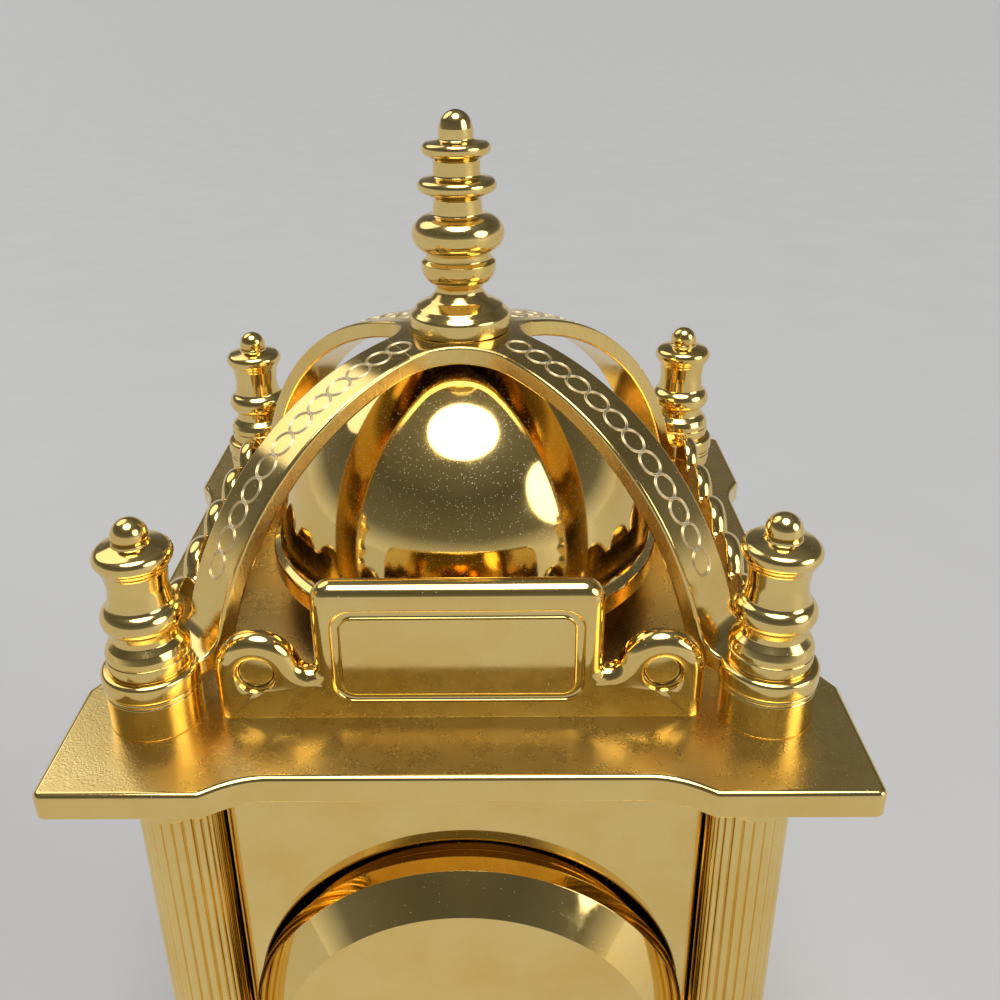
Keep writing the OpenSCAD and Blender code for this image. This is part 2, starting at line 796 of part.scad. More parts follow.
// Front and rear fret: band, a round lobe at each end and a raised panel
module fret_outline() {
    translate([-lobe_x, 0]) square([2 * lobe_x, fret_band_h]);
    for (s = [-1, 1]) {
        translate([s * lobe_x, lobe_z]) circle(r = lobe_r);
        translate([s * lobe_x - lobe_r, 0]) square([2 * lobe_r, lobe_z]);
        translate([s * tab_span / 2 - tab_len / 2, -tab_depth]) square([tab_len, tab_depth]);
    }
    rounded_rect(fret_panel_w, fret_panel_h, fret_panel_r);
    for (s = [-1, 1]) translate([s * (fret_panel_w + notch_r) / 2, fret_band_h + notch_r / 2])
        difference() {
            square(notch_r, center = true);
            translate([s * notch_r / 2, notch_r / 2]) circle(r = notch_r);
        }
}

module frame_groove() {
    translate([0, frame_z]) rounded_frame(frame_w, frame_h, fret_panel_r);
}

// A fret drawn at the rear, with its framed face outwards
module framed_fret() {
    translate([0, fret_y, roof_z])
        difference() {
            upright(-fret_t / 2, fret_t / 2) fret_outline();
            upright(fret_t / 2 - groove_depth, fret_t) frame_groove();
            for (s = [-1, 1]) translate([s * lobe_x, 0, lobe_z]) {
                rod(-fret_t, fret_t, lobe_eye_r + fit_gap);
                translate([0, fret_t / 2 - lobe_eye_sink, 0]) rotate([-90, 0, 0])
                    cylinder(r1 = lobe_eye_r, r2 = lobe_eye_r + 2 * lobe_eye_bevel, h = 2 * lobe_eye_sink);
            }
        }
}

module rear_fret() {
    color(gold) framed_fret();
}

module front_fret() {
    color(gold) rotate([0, 0, 180]) framed_fret();
}

// A side fret: band with a row of round scallops
module side_fret(side) {
    color(gold)
    translate([side * side_fret_x, 0, roof_z]) rotate([0, 0, 90]) upright(-fret_t / 2, fret_t / 2) {
        pitch = scallop_run / (scallop_count - 1);
        translate([-scallop_run / 2 - scallop_r, 0]) square([scallop_run + 2 * scallop_r, scallop_z]);
        for (i = [0 : scallop_count - 1])
            translate([-scallop_run / 2 + i * pitch, scallop_z]) circle(r = scallop_r);
        for (s = [-1, 1])
            translate([s * tab_span / 2 - tab_len / 2, -tab_depth]) square([tab_len, tab_depth]);
    }
}

module left_fret() {
    side_fret(-1);
}

module right_fret() {
    side_fret(1);
}

// The round studs in the four eyes of the front and rear frets
module fret_studs() {
    color(gold)
    for (turn_by = [0, 180], s = [-1, 1])
        rotate([0, 0, turn_by]) translate([s * lobe_x, fret_y, roof_z + lobe_z])
            rod(-fret_t / 2, fret_t / 2 - lobe_eye_sink, lobe_eye_r);
}

// Case

module pierced_panel() {
    translate([-case_w / 2, 0, panel_low_z]) cube([case_w, panel_t, panel_h]);
}

module rear_panel() {
    color(gold)
    difference() {
        translate([0, rear_y - panel_t, 0]) pierced_panel();
        at_dial() rod(rear_y - 2 * panel_t, rear_y + panel_t, opening_r);
    }
}

module front_panel() {
    color(gold)
    difference() {
        translate([0, front_y, 0]) pierced_panel();
        at_dial() rod(front_y - panel_t, front_y + 2 * panel_t, opening_r);
        at_dial() for (x = [-1, 1], z = [-1, 1]) translate([x * dial_screw_x, 0, z * dial_screw_z])
            rod(dial_front_y - dial_screw_grip - fit_gap, dial_front_y + 1, dial_screw_r + fit_gap);
    }
}

module side_panel(side) {
    color(gold)
    translate([side * side_panel_x, 0, panel_low_z + panel_h / 2])
        cube([panel_t, side_panel_len, panel_h], center = true);
}

module left_panel() {
    side_panel(-1);
}

module right_panel() {
    side_panel(1);
}

// A bevelled drum on a narrow neck, with a flat face and a skirt that plugs the rear opening
module rear_cover() {
    color(gold)
    facing_rear(rear_y)
        polygon([
            [0, cover_h], [cover_face_r, cover_h], [cover_edge_r, cover_cone_z],
            [cover_ring_r, cover_gap], [cover_neck_r, cover_gap], [cover_neck_r, 0],
            [skirt_r, 0], [skirt_r, -cover_skirt],
            [skirt_r - cover_t, -cover_skirt], [skirt_r - cover_t, cover_cone_z - cover_t / 2],
            [cover_face_r - cover_t, cover_h - cover_t], [0, cover_h - cover_t]
        ]);
}

// Dial side

module bezel() {
    color(gold)
    facing_front(front_y)
        polygon([
            [view_r, bezel_h], [view_r + 0.9, bezel_h], [cover_edge_r, cover_cone_z],
            [cover_ring_r, cover_gap], [cover_neck_r, cover_gap], [cover_neck_r, 0],
            [skirt_r, 0], [skirt_r, -bezel_skirt],
            [glass_r + fit_gap, -bezel_skirt], [glass_r + fit_gap, bezel_h - glass_seat],
            [view_r, bezel_h - glass_seat]
        ]);
}

module glass() {
    color("lightcyan", 0.35)
    facing_front(front_y - bezel_h + glass_seat + glass_t) drum(2 * glass_r, 0, glass_t);
}

module dial() {
    color("ivory")
    difference() {
        at_dial() translate([0, (dial_front_y + dial_back_y) / 2, 0])
            cube([dial_w, dial_t, dial_h], center = true);
        at_dial() rod(dial_front_y - 1, dial_back_y + 1, bush_r + fit_gap);
        at_dial() for (x = [-1, 1], z = [-1, 1]) translate([x * dial_screw_x, 0, z * dial_screw_z])
            rod(dial_front_y - 1, dial_back_y + 1, dial_screw_r + fit_gap);
    }
}

module dial_screws() {
    color(steel)
    at_dial() for (x = [-1, 1], z = [-1, 1]) translate([x * dial_screw_x, 0, z * dial_screw_z]) {
        rod(dial_front_y - dial_screw_grip, dial_back_y, dial_screw_r);
        rod(dial_back_y, dial_back_y + 0.8, dial_screw_d / 2);
    }
}

module fixing_nut() {
    color(steel)
    at_dial() difference() {
        translate([0, dial_front_y, 0]) rotate([90, 0, 0])
            cylinder(r = nut_af / 2 / cos(30), h = nut_h, $fn = 6);
        rod(dial_front_y - nut_h - 1, dial_front_y + 1, bush_r + fit_gap);
    }
}

// A hand drawn pointing up: boss, blade and a round pierced spade
module hand(len, boss_r, hole_r, y) {
    at_dial() upright(y - hand_t, y)
        difference() {
            union() {
                circle(r = boss_r);
                polygon([[-hand_w / 2, 0], [hand_w / 2, 0], [0.2, len], [-0.2, len]]);
                translate([0, len * 0.62]) circle(r = hand_w * 0.95);
            }
            circle(r = hole_r);
            translate([0, len * 0.62]) circle(r = hand_w * 0.45);
        }
}

module hour_hand() {
    color("black") hand(hour_len, pipe_r + 1.2, pipe_r + 0.02, hour_hand_y);
}

module minute_hand() {
    color("black") hand(minute_len, arbor_r + 1.2, arbor_r + 0.02, minute_hand_y);
}

// Movement

// Front half of the movement's case, with the threaded bush, bridge posts and a pivot hole
module movement_front() {
    color(plastic)
    at_dial() difference() {
        union() {
            rod(dial_back_y, cavity_y, move_r);
            difference() {
                rod(dial_back_y, back_y, move_r);
                rod(cavity_y, back_y + 1, move_inner_r);
            }
            rod(bush_tip_y, cavity_y, bush_r);
            for (a = bridge_posts)
                translate([bridge_post_reach * cos(a), 0, bridge_post_reach * sin(a)])
                    rod(cavity_y, bridge_y, 0.9);
        }
        rod(bush_tip_y - 1, cavity_y + 1, pipe_r + run_gap);
        translate([minute_at[0], 0, minute_at[1]]) rod(cavity_y - 0.7, cavity_y + 1, pivot_r + run_gap);
    }
}

// Plate between the motion work and the going train
module train_bridge() {
    color(plastic)
    at_dial() difference() {
        rod(bridge_y, bridge_y + bridge_t, move_inner_r - fit_gap);
        rod(bridge_y - 1, bridge_y + 2, arbor_r + run_gap);
        translate([minute_at[0], 0, minute_at[1]]) rod(bridge_y - 1, bridge_y + 2, pivot_r * 2 + run_gap);
        for (p = [third_at, reduction_at, rotor_at])
            translate([p[0], 0, p[1]]) rod(bridge_y - 1, bridge_y + 2, pivot_r + run_gap);
    }
}

// Back of the movement's case, with the cell's opening, pivot holes and carrying posts
module movement_back() {
    color(plastic)
    at_dial() difference() {
        union() {
            rod(back_y, back_out_y, move_r);
            for (p = [[stator_left + 2, stator_low + 1.2], [coil_at[0] - 2, stator_top - 1.2]])
                translate([p[0], 0, p[1]]) rod(stator_y + stator_t, back_y, 0.8);
            for (z = [board_low + 1.2, board_top - 1.2])
                translate([board_left + 1.6, 0, z]) rod(board_y + board_t, back_y, 0.8);
        }
        translate([cell_at[0], 0, cell_at[1]]) rod(back_y - 1, back_out_y + 1, cell_r + 0.2);
        translate([minute_at[0], 0, minute_at[1]]) rod(back_y - 1, back_out_y + 1, pivot_r * 2 + run_gap);
        for (p = [third_at, reduction_at, rotor_at])
            translate([p[0], 0, p[1]]) rod(back_y - 1, back_y + 0.7, pivot_r + run_gap);
    }
}

// Centre arbor with the cannon pinion: carries the minute hand
module centre_arbor() {
    color(steel)
    at_dial() {
        rod(arbor_tip_y, centre_layer_y + wheel_t + 0.3, arbor_r);
        upright(minute_wheel_y - 0.1, minute_wheel_y + 0.9) pinion_outline(cannon_teeth, motion_module, 0);
    }
}

// Hour wheel with the pipe that carries the hour hand
module hour_wheel() {
    color(gold)
    at_dial() difference() {
        union() {
            rod(hour_hand_y - hand_t - 0.1, hour_wheel_y, pipe_r);
            upright(hour_wheel_y, hour_wheel_y + 0.8) wheel_outline(hour_teeth, motion_module, 0);
        }
        rod(hour_hand_y - cut_over, hour_wheel_y + cut_over, arbor_r + run_gap);
    }
}

// Minute wheel of the motion work with its pinion and setting arbor
module minute_wheel() {
    color(gold)
    at_dial(minute_at) {
        rod(cavity_y - 0.6, hour_wheel_y, pivot_r);
        upright(hour_wheel_y - 0.1, minute_wheel_y)
            pinion_outline(minute_leaves, motion_module, 180 + 180 / minute_leaves);
        upright(minute_wheel_y, minute_wheel_y + 0.8)
            wheel_outline(minute_teeth, motion_module, 180 + 180 / minute_teeth);
        rod(minute_wheel_y, back_out_y + 0.4 + knob_t, pivot_r * 2);
    }
}

module setting_knob() {
    color("dimgray")
    at_dial(minute_at) difference() {
        rod(back_out_y + 0.4, back_out_y + 0.4 + knob_t, knob_d / 2);
        rod(back_out_y, back_out_y + knob_t + 1, pivot_r * 2 + 0.02);
        for (i = [0 : 11])
            rotate([0, i * 30, 0]) translate([knob_d / 2, 0, 0])
                rod(back_out_y, back_out_y + knob_t + cut_over, 0.35);
    }
}

module centre_wheel() {
    color(gold)
    at_dial() difference() {
        upright(centre_layer_y, centre_layer_y + wheel_t)
            wheel_outline(train_teeth, train_module, third_turn);
        rod(centre_layer_y - 1, centre_layer_y + 2, arbor_r + run_gap);
    }
}

// A train wheel with its pinion one layer nearer the dial, on an arbor from bridge to back
module train_wheel(place, layer_y, wheel_turn, pinion_turn) {
    pinion_y = layer_y - wheel_t - 0.7;
    at_dial(place) {
        rod(bridge_y + 0.1, back_y + 0.6, pivot_r);
        upright(pinion_y, layer_y)
            pinion_outline(train_leaves, train_module, pinion_turn + 180 / train_leaves);
        upright(layer_y, layer_y + wheel_t) wheel_outline(train_teeth, train_module, wheel_turn);
    }
}

module third_wheel() {
    color(gold) train_wheel(third_at, third_layer_y, reduction_turn, third_turn + 180);
}

module reduction_wheel() {
    color(gold) train_wheel(reduction_at, reduction_layer_y, rotor_turn, reduction_turn + 180);
}

// Magnet rotor of the stepping motor with its pinion
module rotor() {
    color("dimgray")
    at_dial(rotor_at) {
        rod(bridge_y + 0.1, back_y + 0.6, pivot_r);
        upright(reduction_layer_y - 0.1, rotor_layer_y)
            pinion_outline(train_leaves, train_module, rotor_turn + 180 + 180 / train_leaves);
        rod(rotor_layer_y, rotor_layer_y + rotor_len, rotor_r);
    }
}

// C-shaped stator plate round the rotor, open at the coil
module stator() {
    color(steel)
    at_dial() upright(stator_y, stator_y + stator_t)
        difference() {
            translate([stator_left, stator_low])
                square([stator_right - stator_left, stator_top - stator_low]);
            translate([stator_left + stator_back, stator_low + stator_arm])
                square([stator_right, stator_inner - stator_low - stator_arm]);
            translate(rotor_at) circle(r = stator_hole_r);
        }
}

// Coil on its core, seated on the stator's two arms
module coil() {
    core = 1;
    color("peru")
    at_dial(coil_at) {
        translate([0, coil_y, -coil_len / 2]) cylinder(r = coil_r, h = coil_len);
        translate([-core / 2, coil_y - core / 2, stator_low + 0.4])
            cube([core, core, stator_top - stator_low - 0.8]);
        for (z = [stator_low + 0.4, stator_top - 0.4 - core])
            translate([-core / 2, coil_y, z]) cube([core, stator_y - coil_y, core]);
    }
}

// Circuit board with its chip
module circuit_board() {
    color("darkgreen")
    at_dial() {
        upright(board_y, board_y + board_t)
            translate([board_left, board_low]) square([board_right - board_left, board_top - board_low]);
        upright(board_y + board_t, board_y + board_t + 0.6)
            translate([board_right - 3.2, board_low + 2]) square([2.6, 2.6]);
    }
}

module crystal() {
    color(steel)
    at_dial(crystal_at) translate([0, board_y - crystal_r, -crystal_len / 2])
        cylinder(r = crystal_r, h = crystal_len);
}

module button_cell() {
    color(steel)
    at_dial(cell_at) {
        rod(cell_y + 0.4, cell_y + cell_t, cell_r);
        rod(cell_y, cell_y + 0.4, cell_r - 1);
    }
}

// Two spring strips on the bridge: one under the cell, one at its side
module cell_contacts() {
    strip = 0.25;
    bridge_back_y = bridge_y + bridge_t;
    color(gold)
    at_dial(cell_at) {
        translate([-1.2, 0, -3.4]) {
            translate([0, bridge_back_y, 0]) cube([2.4, strip, 3]);
            translate([0, bridge_back_y, 0]) cube([2.4, cell_y - bridge_back_y, strip]);
            translate([0, cell_y - strip, 0]) cube([2.4, strip, 3]);
        }
        rotate([0, -160, 0]) translate([cell_r + 0.02, bridge_back_y, -1.2])
            cube([strip, back_y - bridge_back_y - 0.2, 2.4]);
    }
}

base_plate();
foot(corners[0]);  // foot_front_left
foot(corners[1]);  // foot_front_right
foot(corners[2]);  // foot_rear_left
foot(corners[3]);  // foot_rear_right
column(corners[0]);  // column_front_left
column(corners[1]);  // column_front_right
column(corners[2]);  // column_rear_left
column(corners[3]);  // column_rear_right
top_plate();
collar(corners[0]);  // collar_front_left
collar(corners[1]);  // collar_front_right
collar(corners[2]);  // collar_rear_left
collar(corners[3]);  // collar_rear_right
corner_finial(corners[0]);  // finial_front_left
corner_finial(corners[1]);  // finial_front_right
corner_finial(corners[2]);  // finial_rear_left
corner_finial(corners[3]);  // finial_rear_right
bell_strap();
bell();
bell_stud();
bell_nut();
top_finial();
rear_fret();
front_fret();
left_fret();
right_fret();
fret_studs();
rear_panel();
front_panel();
left_panel();
right_panel();
rear_cover();
bezel();
glass();
dial();
dial_screws();
fixing_nut();
hour_hand();
minute_hand();
movement_front();
movement_back();
train_bridge();
centre_arbor();
hour_wheel();
minute_wheel();
setting_knob();
centre_wheel();
third_wheel();
reduction_wheel();
rotor();
stator();
coil();
circuit_board();
crystal();
button_cell();
cell_contacts();
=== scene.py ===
"""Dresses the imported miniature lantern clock: turned gilt posts, strapped bell, frets, case, dial and stage."""

import math

import bmesh
import bpy
from bpy.props import FloatProperty, FloatVectorProperty, IntProperty, PointerProperty
from mathutils import Matrix, Vector


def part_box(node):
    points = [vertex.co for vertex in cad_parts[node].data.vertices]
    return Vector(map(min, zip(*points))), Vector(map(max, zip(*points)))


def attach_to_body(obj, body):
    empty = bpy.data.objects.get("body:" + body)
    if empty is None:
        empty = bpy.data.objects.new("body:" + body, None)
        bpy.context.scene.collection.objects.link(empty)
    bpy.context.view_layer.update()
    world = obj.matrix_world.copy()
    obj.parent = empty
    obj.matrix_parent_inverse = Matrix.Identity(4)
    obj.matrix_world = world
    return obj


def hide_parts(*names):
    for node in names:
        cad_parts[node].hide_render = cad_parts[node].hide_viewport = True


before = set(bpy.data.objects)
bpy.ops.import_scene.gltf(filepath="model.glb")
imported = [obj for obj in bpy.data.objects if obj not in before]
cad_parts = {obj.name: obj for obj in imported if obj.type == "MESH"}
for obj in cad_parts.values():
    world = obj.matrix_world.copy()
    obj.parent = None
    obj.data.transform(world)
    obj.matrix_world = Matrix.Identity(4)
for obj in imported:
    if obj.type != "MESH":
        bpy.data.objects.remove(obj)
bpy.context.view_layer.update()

bl_info = {
    "name": "Miniature lantern clock",
    "version": (1, 0, 0),
    "blender": (4, 5, 0),
    "location": "3D View > Sidebar > Clock",
    "description": "Dresses the packed lantern clock with turned pieces, gilt finishes and a stage",
    "category": "Object",
}

MM = 0.001
CORNERS = ("front_left", "front_right", "rear_left", "rear_right")
DIAL_Z = (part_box("bezel")[0].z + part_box("bezel")[1].z) / 2 / MM
NUMERALS = ("XII", "I", "II", "III", "IIII", "V", "VI", "VII", "VIII", "IX", "X", "XI")

# Sizes that pieces share, in millimetres
STRAP_T = 1.7
FRET_EYE_X, FRET_EYE_Z = 17.0, 4.3
FRET_FOOT = -1.2
COVER_NECK = [(21.65, 1.0, 0.12), (20.35, 1.0, 0.1), (20.35, 0, 0), (19.24, 0, 0)]


# Settings

class ClockSizes(bpy.types.PropertyGroup):
    """Sizes of the clock's ornament that can be changed without moving a joint."""

    plate_edge: FloatProperty(
        name="Plate edge", description="Radius of the plates' polished upper edges",
        default=0.0005, min=0.0002, max=0.001, unit="LENGTH")
    fret_edge: FloatProperty(
        name="Fret edge", description="Radius of the frets' polished outer edges",
        default=0.0013, min=0.0001, max=0.0016, unit="LENGTH")
    strap_edge: FloatProperty(
        name="Strap edge", description="Radius of the strap's polished edges",
        default=0.0003, min=0.0001, max=0.0008, unit="LENGTH")
    reeds: IntProperty(
        name="Reeds", description="Number of reeds round a column", default=20, min=12, max=28)
    reed_rise: FloatProperty(
        name="Reed rise", description="How far the reeds stand out of the column's core",
        default=0.00045, min=0.0002, max=0.0008, unit="LENGTH")
    ovals: IntProperty(
        name="Ovals", description="Number of ovals along each strap arm", default=12, min=6, max=14)
    oval_length: FloatProperty(
        name="Oval length", description="Length of an oval along the strap",
        default=0.00244, min=0.001, max=0.003, unit="LENGTH")
    oval_width: FloatProperty(
        name="Oval width", description="Width of an oval across the strap",
        default=0.00225, min=0.001, max=0.003, unit="LENGTH")
    oval_line: FloatProperty(
        name="Oval line", description="Radius of the two lines that draw an oval",
        default=0.00006, min=0.00002, max=0.0002, unit="LENGTH")
    numeral_height: FloatProperty(
        name="Numeral height", description="Height of the dial's numerals",
        default=0.0032, min=0.001, max=0.005, unit="LENGTH")
    steps: IntProperty(
        name="Turning steps", description="Number of steps round a turned piece", default=96, min=32, max=192)


class ClockFinishes(bpy.types.PropertyGroup):
    """Colours and roughness of the clock's finishes."""

    gold: FloatVectorProperty(
        name="Gold", description="Colour of the gold plating", default=(0.90, 0.67, 0.25),
        min=0, max=1, size=3, subtype="COLOR")
    deep_gold: FloatVectorProperty(
        name="Deep gold", description="Colour of the plating where it is thick or smudged",
        default=(0.86, 0.57, 0.15), min=0, max=1, size=3, subtype="COLOR")
    brass: FloatVectorProperty(
        name="Brass", description="Colour of the plain brass wheels", default=(0.78, 0.58, 0.25),
        min=0, max=1, size=3, subtype="COLOR")
    cream: FloatVectorProperty(
        name="Dial", description="Colour of the dial's paint", default=(0.86, 0.80, 0.66),
        min=0, max=1, size=3, subtype="COLOR")
    black: FloatVectorProperty(
        name="Black", description="Colour of the hands and the printing", default=(0.012, 0.012, 0.013),
        min=0, max=1, size=3, subtype="COLOR")
    plastic: FloatVectorProperty(
        name="Movement case", description="Colour of the movement's moulded case",
        default=(0.72, 0.72, 0.69), min=0, max=1, size=3, subtype="COLOR")
    satin: FloatProperty(
        name="Satin roughness", description="Roughness of the satin faces", default=0.28,
        min=0.05, max=0.6, subtype="FACTOR")
    polish: FloatProperty(
        name="Polish roughness", description="Roughness of the polished faces", default=0.06,
        min=0.01, max=0.4, subtype="FACTOR")


class ClockStage(bpy.types.PropertyGroup):
    """The floor and the light round the clock."""

    floor: FloatVectorProperty(
        name="Floor", description="Colour of the pale floor", default=(0.56, 0.556, 0.55),
        min=0, max=1, size=3, subtype="COLOR")
    overhead: FloatProperty(
        name="Overhead light", description="Strength of the large soft light above the clock",
        default=2.0, min=0, max=5)
    side: FloatProperty(
        name="Side light", description="Strength of the large soft light at the clock's side",
        default=0.9, min=0, max=5)
    back: FloatProperty(
        name="Back light", description="Strength of the soft light on the dial's side",
        default=0.5, min=0, max=5)
    room: FloatProperty(
        name="Room light", description="Strength of the light from the room", default=1.0, min=0, max=2)


def sizes():
    return bpy.context.scene.clock_sizes


def finishes():
    return bpy.context.scene.clock_finishes


def stage():
    return bpy.context.scene.clock_stage


# Mesh helpers, in millimetres

def node_box(node):
    """Lowest and highest corner of a CAD node in millimetres."""
    low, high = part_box(node)
    return low / MM, high / MM


def post_axis(corner):
    """Axis of the post at a corner, in millimetres."""
    low, high = node_box("collar_" + corner)
    return Vector(((low.x + high.x) / 2, (low.y + high.y) / 2, 0))


def arc(cx, cy, r, start, end, steps):
    """Points of an arc, with its angles in degrees."""
    turns = [math.radians(start + (end - start) * k / steps) for k in range(steps + 1)]
    return [(cx + r * math.cos(a), cy + r * math.sin(a)) for a in turns]


def unfilleted(points):
    """Points without a fillet, for a profile of (x, y, fillet)."""
    return [(x, y, 0) for x, y in points]


def eased(points, closed=False, steps=6):
    """Points of (x, y, fillet) as a plain line with every fillet drawn as an arc."""
    line, count = [], len(points)
    for i, (x, y, fillet) in enumerate(points):
        here = Vector((x, y))
        if fillet <= 0 or (not closed and i in (0, count - 1)):
            line.append((x, y))
            continue
        back = Vector(points[i - 1][:2]) - here
        ahead = Vector(points[(i + 1) % count][:2]) - here
        reach = 0.4999 * min(back.length, ahead.length)
        back.normalize()
        ahead.normalize()
        half = back.angle(ahead) / 2
        if half > math.radians(89) or half < math.radians(1):
            line.append((x, y))
            continue
        run = min(fillet / math.tan(half), reach)
        centre = here + (back + ahead).normalized() * (run / math.cos(half))
        spoke = here + back * run - centre
        sweep = spoke.angle_signed(here + ahead * run - centre)
        for k in range(steps + 1):
            turn = Matrix.Rotation(-sweep * k / steps, 2)
            line.append(tuple(centre + turn @ spoke))
    return line


def lathe(profile, closed=False, steps=None):
    """A bmesh turned about Z from points of radius and height."""
    count = steps or sizes().steps
    bm, rings = bmesh.new(), []
    for r, z in profile:
        if r < 1e-6:
            rings.append([bm.verts.new((0, 0, z))])
        else:
            turns = [2 * math.pi * k / count for k in range(count)]
            rings.append([bm.verts.new((r * math.cos(a), r * math.sin(a), z)) for a in turns])
    for low, high in zip(rings, rings[1:] + (rings[:1] if closed else [])):
        if len(low) == 1 and len(high) == 1:
            continue
        for i in range(count):
            j = (i + 1) % count
            corner = [low[i % len(low)], low[j % len(low)], high[j % len(high)], high[i % len(high)]]
            bm.faces.new(list(dict.fromkeys(corner)))
    return bm


def inset(loop, depth):
    """A counter-clockwise loop of 2-D points moved inwards by a depth."""
    moved, count = [], len(loop)
    for i in range(count):
        here = Vector(loop[i])
        back = (here - Vector(loop[i - 1])).normalized()
        ahead = (Vector(loop[(i + 1) % count]) - here).normalized()
        left, right = Vector((-back.y, back.x)), Vector((-ahead.y, ahead.x))
        moved.append(tuple(here + (left + right) * (depth / max(0.35, 1 + left.dot(right)))))
    return moved


def loft(bm, loops, finish=0):
    """Joins closed loops of 3-D points with faces and returns their vertices."""
    rings = [[bm.verts.new(p) for p in loop] for loop in loops]
    count = len(loops[0])
    for low, high in zip(rings, rings[1:]):
        for i in range(count):
            j = (i + 1) % count
            bm.faces.new((low[i], low[j], high[j], high[i])).material_index = finish
    return rings


def cap(bm, loops, finish=0):
    """Fills a flat face inside the first loop of vertices, with the other loops as holes."""
    if len(loops) == 1:
        bm.faces.new(loops[0]).material_index = finish
        return
    edges = []
    for loop in loops:
        for i in range(len(loop)):
            pair = (loop[i], loop[(i + 1) % len(loop)])
            edges.append(bm.edges.get(pair) or bm.edges.new(pair))
    made = bmesh.ops.triangle_fill(bm, edges=edges, use_beauty=True)
    for item in made["geom"]:
        if isinstance(item, bmesh.types.BMFace):
            item.material_index = finish


def slab_rims(bm, outline, low, high, low_edge, high_edge, finish=0, steps=6):
    """The rounded rim of a flat piece, and the vertices of its lower and upper loops."""
    loops = []
    for k in range(steps + 1 if low_edge else 1):
        a = math.pi / 2 * k / steps
        ring = inset(outline, low_edge * (1 - math.sin(a)))
        loops.append([(x, y, low + low_edge * (1 - math.cos(a))) for x, y in ring])
    for k in range(steps + 1 if high_edge else 1):
        a = math.pi / 2 * k / steps
        ring = inset(outline, high_edge * (1 - math.cos(a)))
        loops.append([(x, y, high - high_edge * (1 - math.sin(a))) for x, y in ring])
    rings = loft(bm, loops, finish)
    return rings[0], rings[-1]


def add_part(bm, part):
    """Adds a bmesh to another one and frees it."""
    mesh = bpy.data.meshes.new("part")
    part.to_mesh(mesh)
    part.free()
    bm.from_mesh(mesh)
    bpy.data.meshes.remove(mesh)


def bake(piece):
    """Turns a piece and its modifiers into a plain mesh."""
    depsgraph = bpy.context.evaluated_depsgraph_get()
    mesh = bpy.data.meshes.new_from_object(
        piece.evaluated_get(depsgraph), preserve_all_data_layers=True, depsgraph=depsgraph)
    old = piece.data
    piece.modifiers.clear()
    piece.data = mesh
    bpy.data.meshes.remove(old)
    mesh.name = piece.name


def new_piece(name, bm, coats, sharp=38):
    """A piece from a bmesh in millimetres, smooth but for its sharp edges."""
    bmesh.ops.remove_doubles(bm, verts=bm.verts, dist=0.0005)
    bmesh.ops.dissolve_degenerate(bm, edges=bm.edges, dist=0.0005)
    bmesh.ops.recalc_face_normals(bm, faces=bm.faces)
    bm.transform(Matrix.Scale(MM, 4))
    mesh = bpy.data.meshes.new(name)
    bm.to_mesh(mesh)
    bm.free()
    for coat in coats:
        mesh.materials.append(coat)
    mesh.shade_smooth()
    mesh.set_sharp_from_angle(angle=math.radians(sharp))
    piece = bpy.data.objects.new(name, mesh)
    bpy.context.scene.collection.objects.link(piece)
    weighted = piece.modifiers.new("Flat faces stay flat", "WEIGHTED_NORMAL")
    weighted.mode = "FACE_AREA"
    weighted.weight = 100
    weighted.keep_sharp = True
    bake(piece)
    return piece


def attach(piece, slot, *nodes, body="clock"):
    """Lets a piece ride on its body in place of its CAD nodes."""
    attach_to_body(piece, body)
    if nodes:
        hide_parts(*nodes)


def paint(coat, *nodes):
    """Gives CAD nodes a finish in place of their plain colour."""
    for name in nodes:
        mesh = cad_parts[name].data
        mesh.materials.clear()
        mesh.materials.append(coat)


def at_corners(kind, name, bm, coats, slot):
    """Puts a copy of a turned bmesh on the axis of each post, in place of its CAD node."""
    for corner in CORNERS:
        copy = bm.copy()
        copy.transform(Matrix.Translation(post_axis(corner)))
        attach(new_piece(f"{name}_{corner}", copy, coats), slot, f"{kind}_{corner}")
    bm.free()


# Geometry Nodes helpers

def new_tree(name, inputs):
    """An empty node tree with named inputs, and its input and output nodes."""
    tree = bpy.data.node_groups.new(name, "GeometryNodeTree")
    tree.interface.new_socket("Geometry", in_out="INPUT", socket_type="NodeSocketGeometry")
    for label, kind in inputs:
        tree.interface.new_socket(label, in_out="INPUT", socket_type=kind)
    tree.interface.new_socket("Geometry", in_out="OUTPUT", socket_type="NodeSocketGeometry")
    return tree, tree.nodes.new("NodeGroupInput"), tree.nodes.new("NodeGroupOutput")


def node(tree, kind, links=(), **settings):
    """Adds a node, sets its properties and links its inputs from (name or index, source) pairs."""
    made = tree.nodes.new(kind)
    for key, value in settings.items():
        setattr(made, key, value)
    for key, source in links:
        if isinstance(source, bpy.types.NodeSocket):
            tree.links.new(source, made.inputs[key])
        else:
            made.inputs[key].default_value = source
    return made


def close_tree(tree, given, result, geometry, material):
    """Ends a tree: real geometry, smooth, with its material."""
    real = node(tree, "GeometryNodeRealizeInstances", [("Geometry", geometry)])
    smooth = node(tree, "GeometryNodeSetShadeSmooth", [("Geometry", real.outputs[0])])
    coat = node(tree, "GeometryNodeSetMaterial",
                [("Geometry", smooth.outputs[0]), ("Material", given.outputs[material])])
    tree.links.new(coat.outputs[0], result.inputs[0])


def grow(piece, tree, values):
    """Runs a tree on a piece with values for its named inputs, and keeps the result as its mesh."""
    modifier = piece.modifiers.new(tree.name, "NODES")
    modifier.node_group = tree
    for item in tree.interface.items_tree:
        if item.item_type == "SOCKET" and item.in_out == "INPUT" and item.name in values:
            modifier[item.identifier] = values[item.name]
    bpy.context.view_layer.update()
    bake(piece)
    if not piece.data.polygons:
        raise RuntimeError(f"{tree.name} made no faces for {piece.name}")


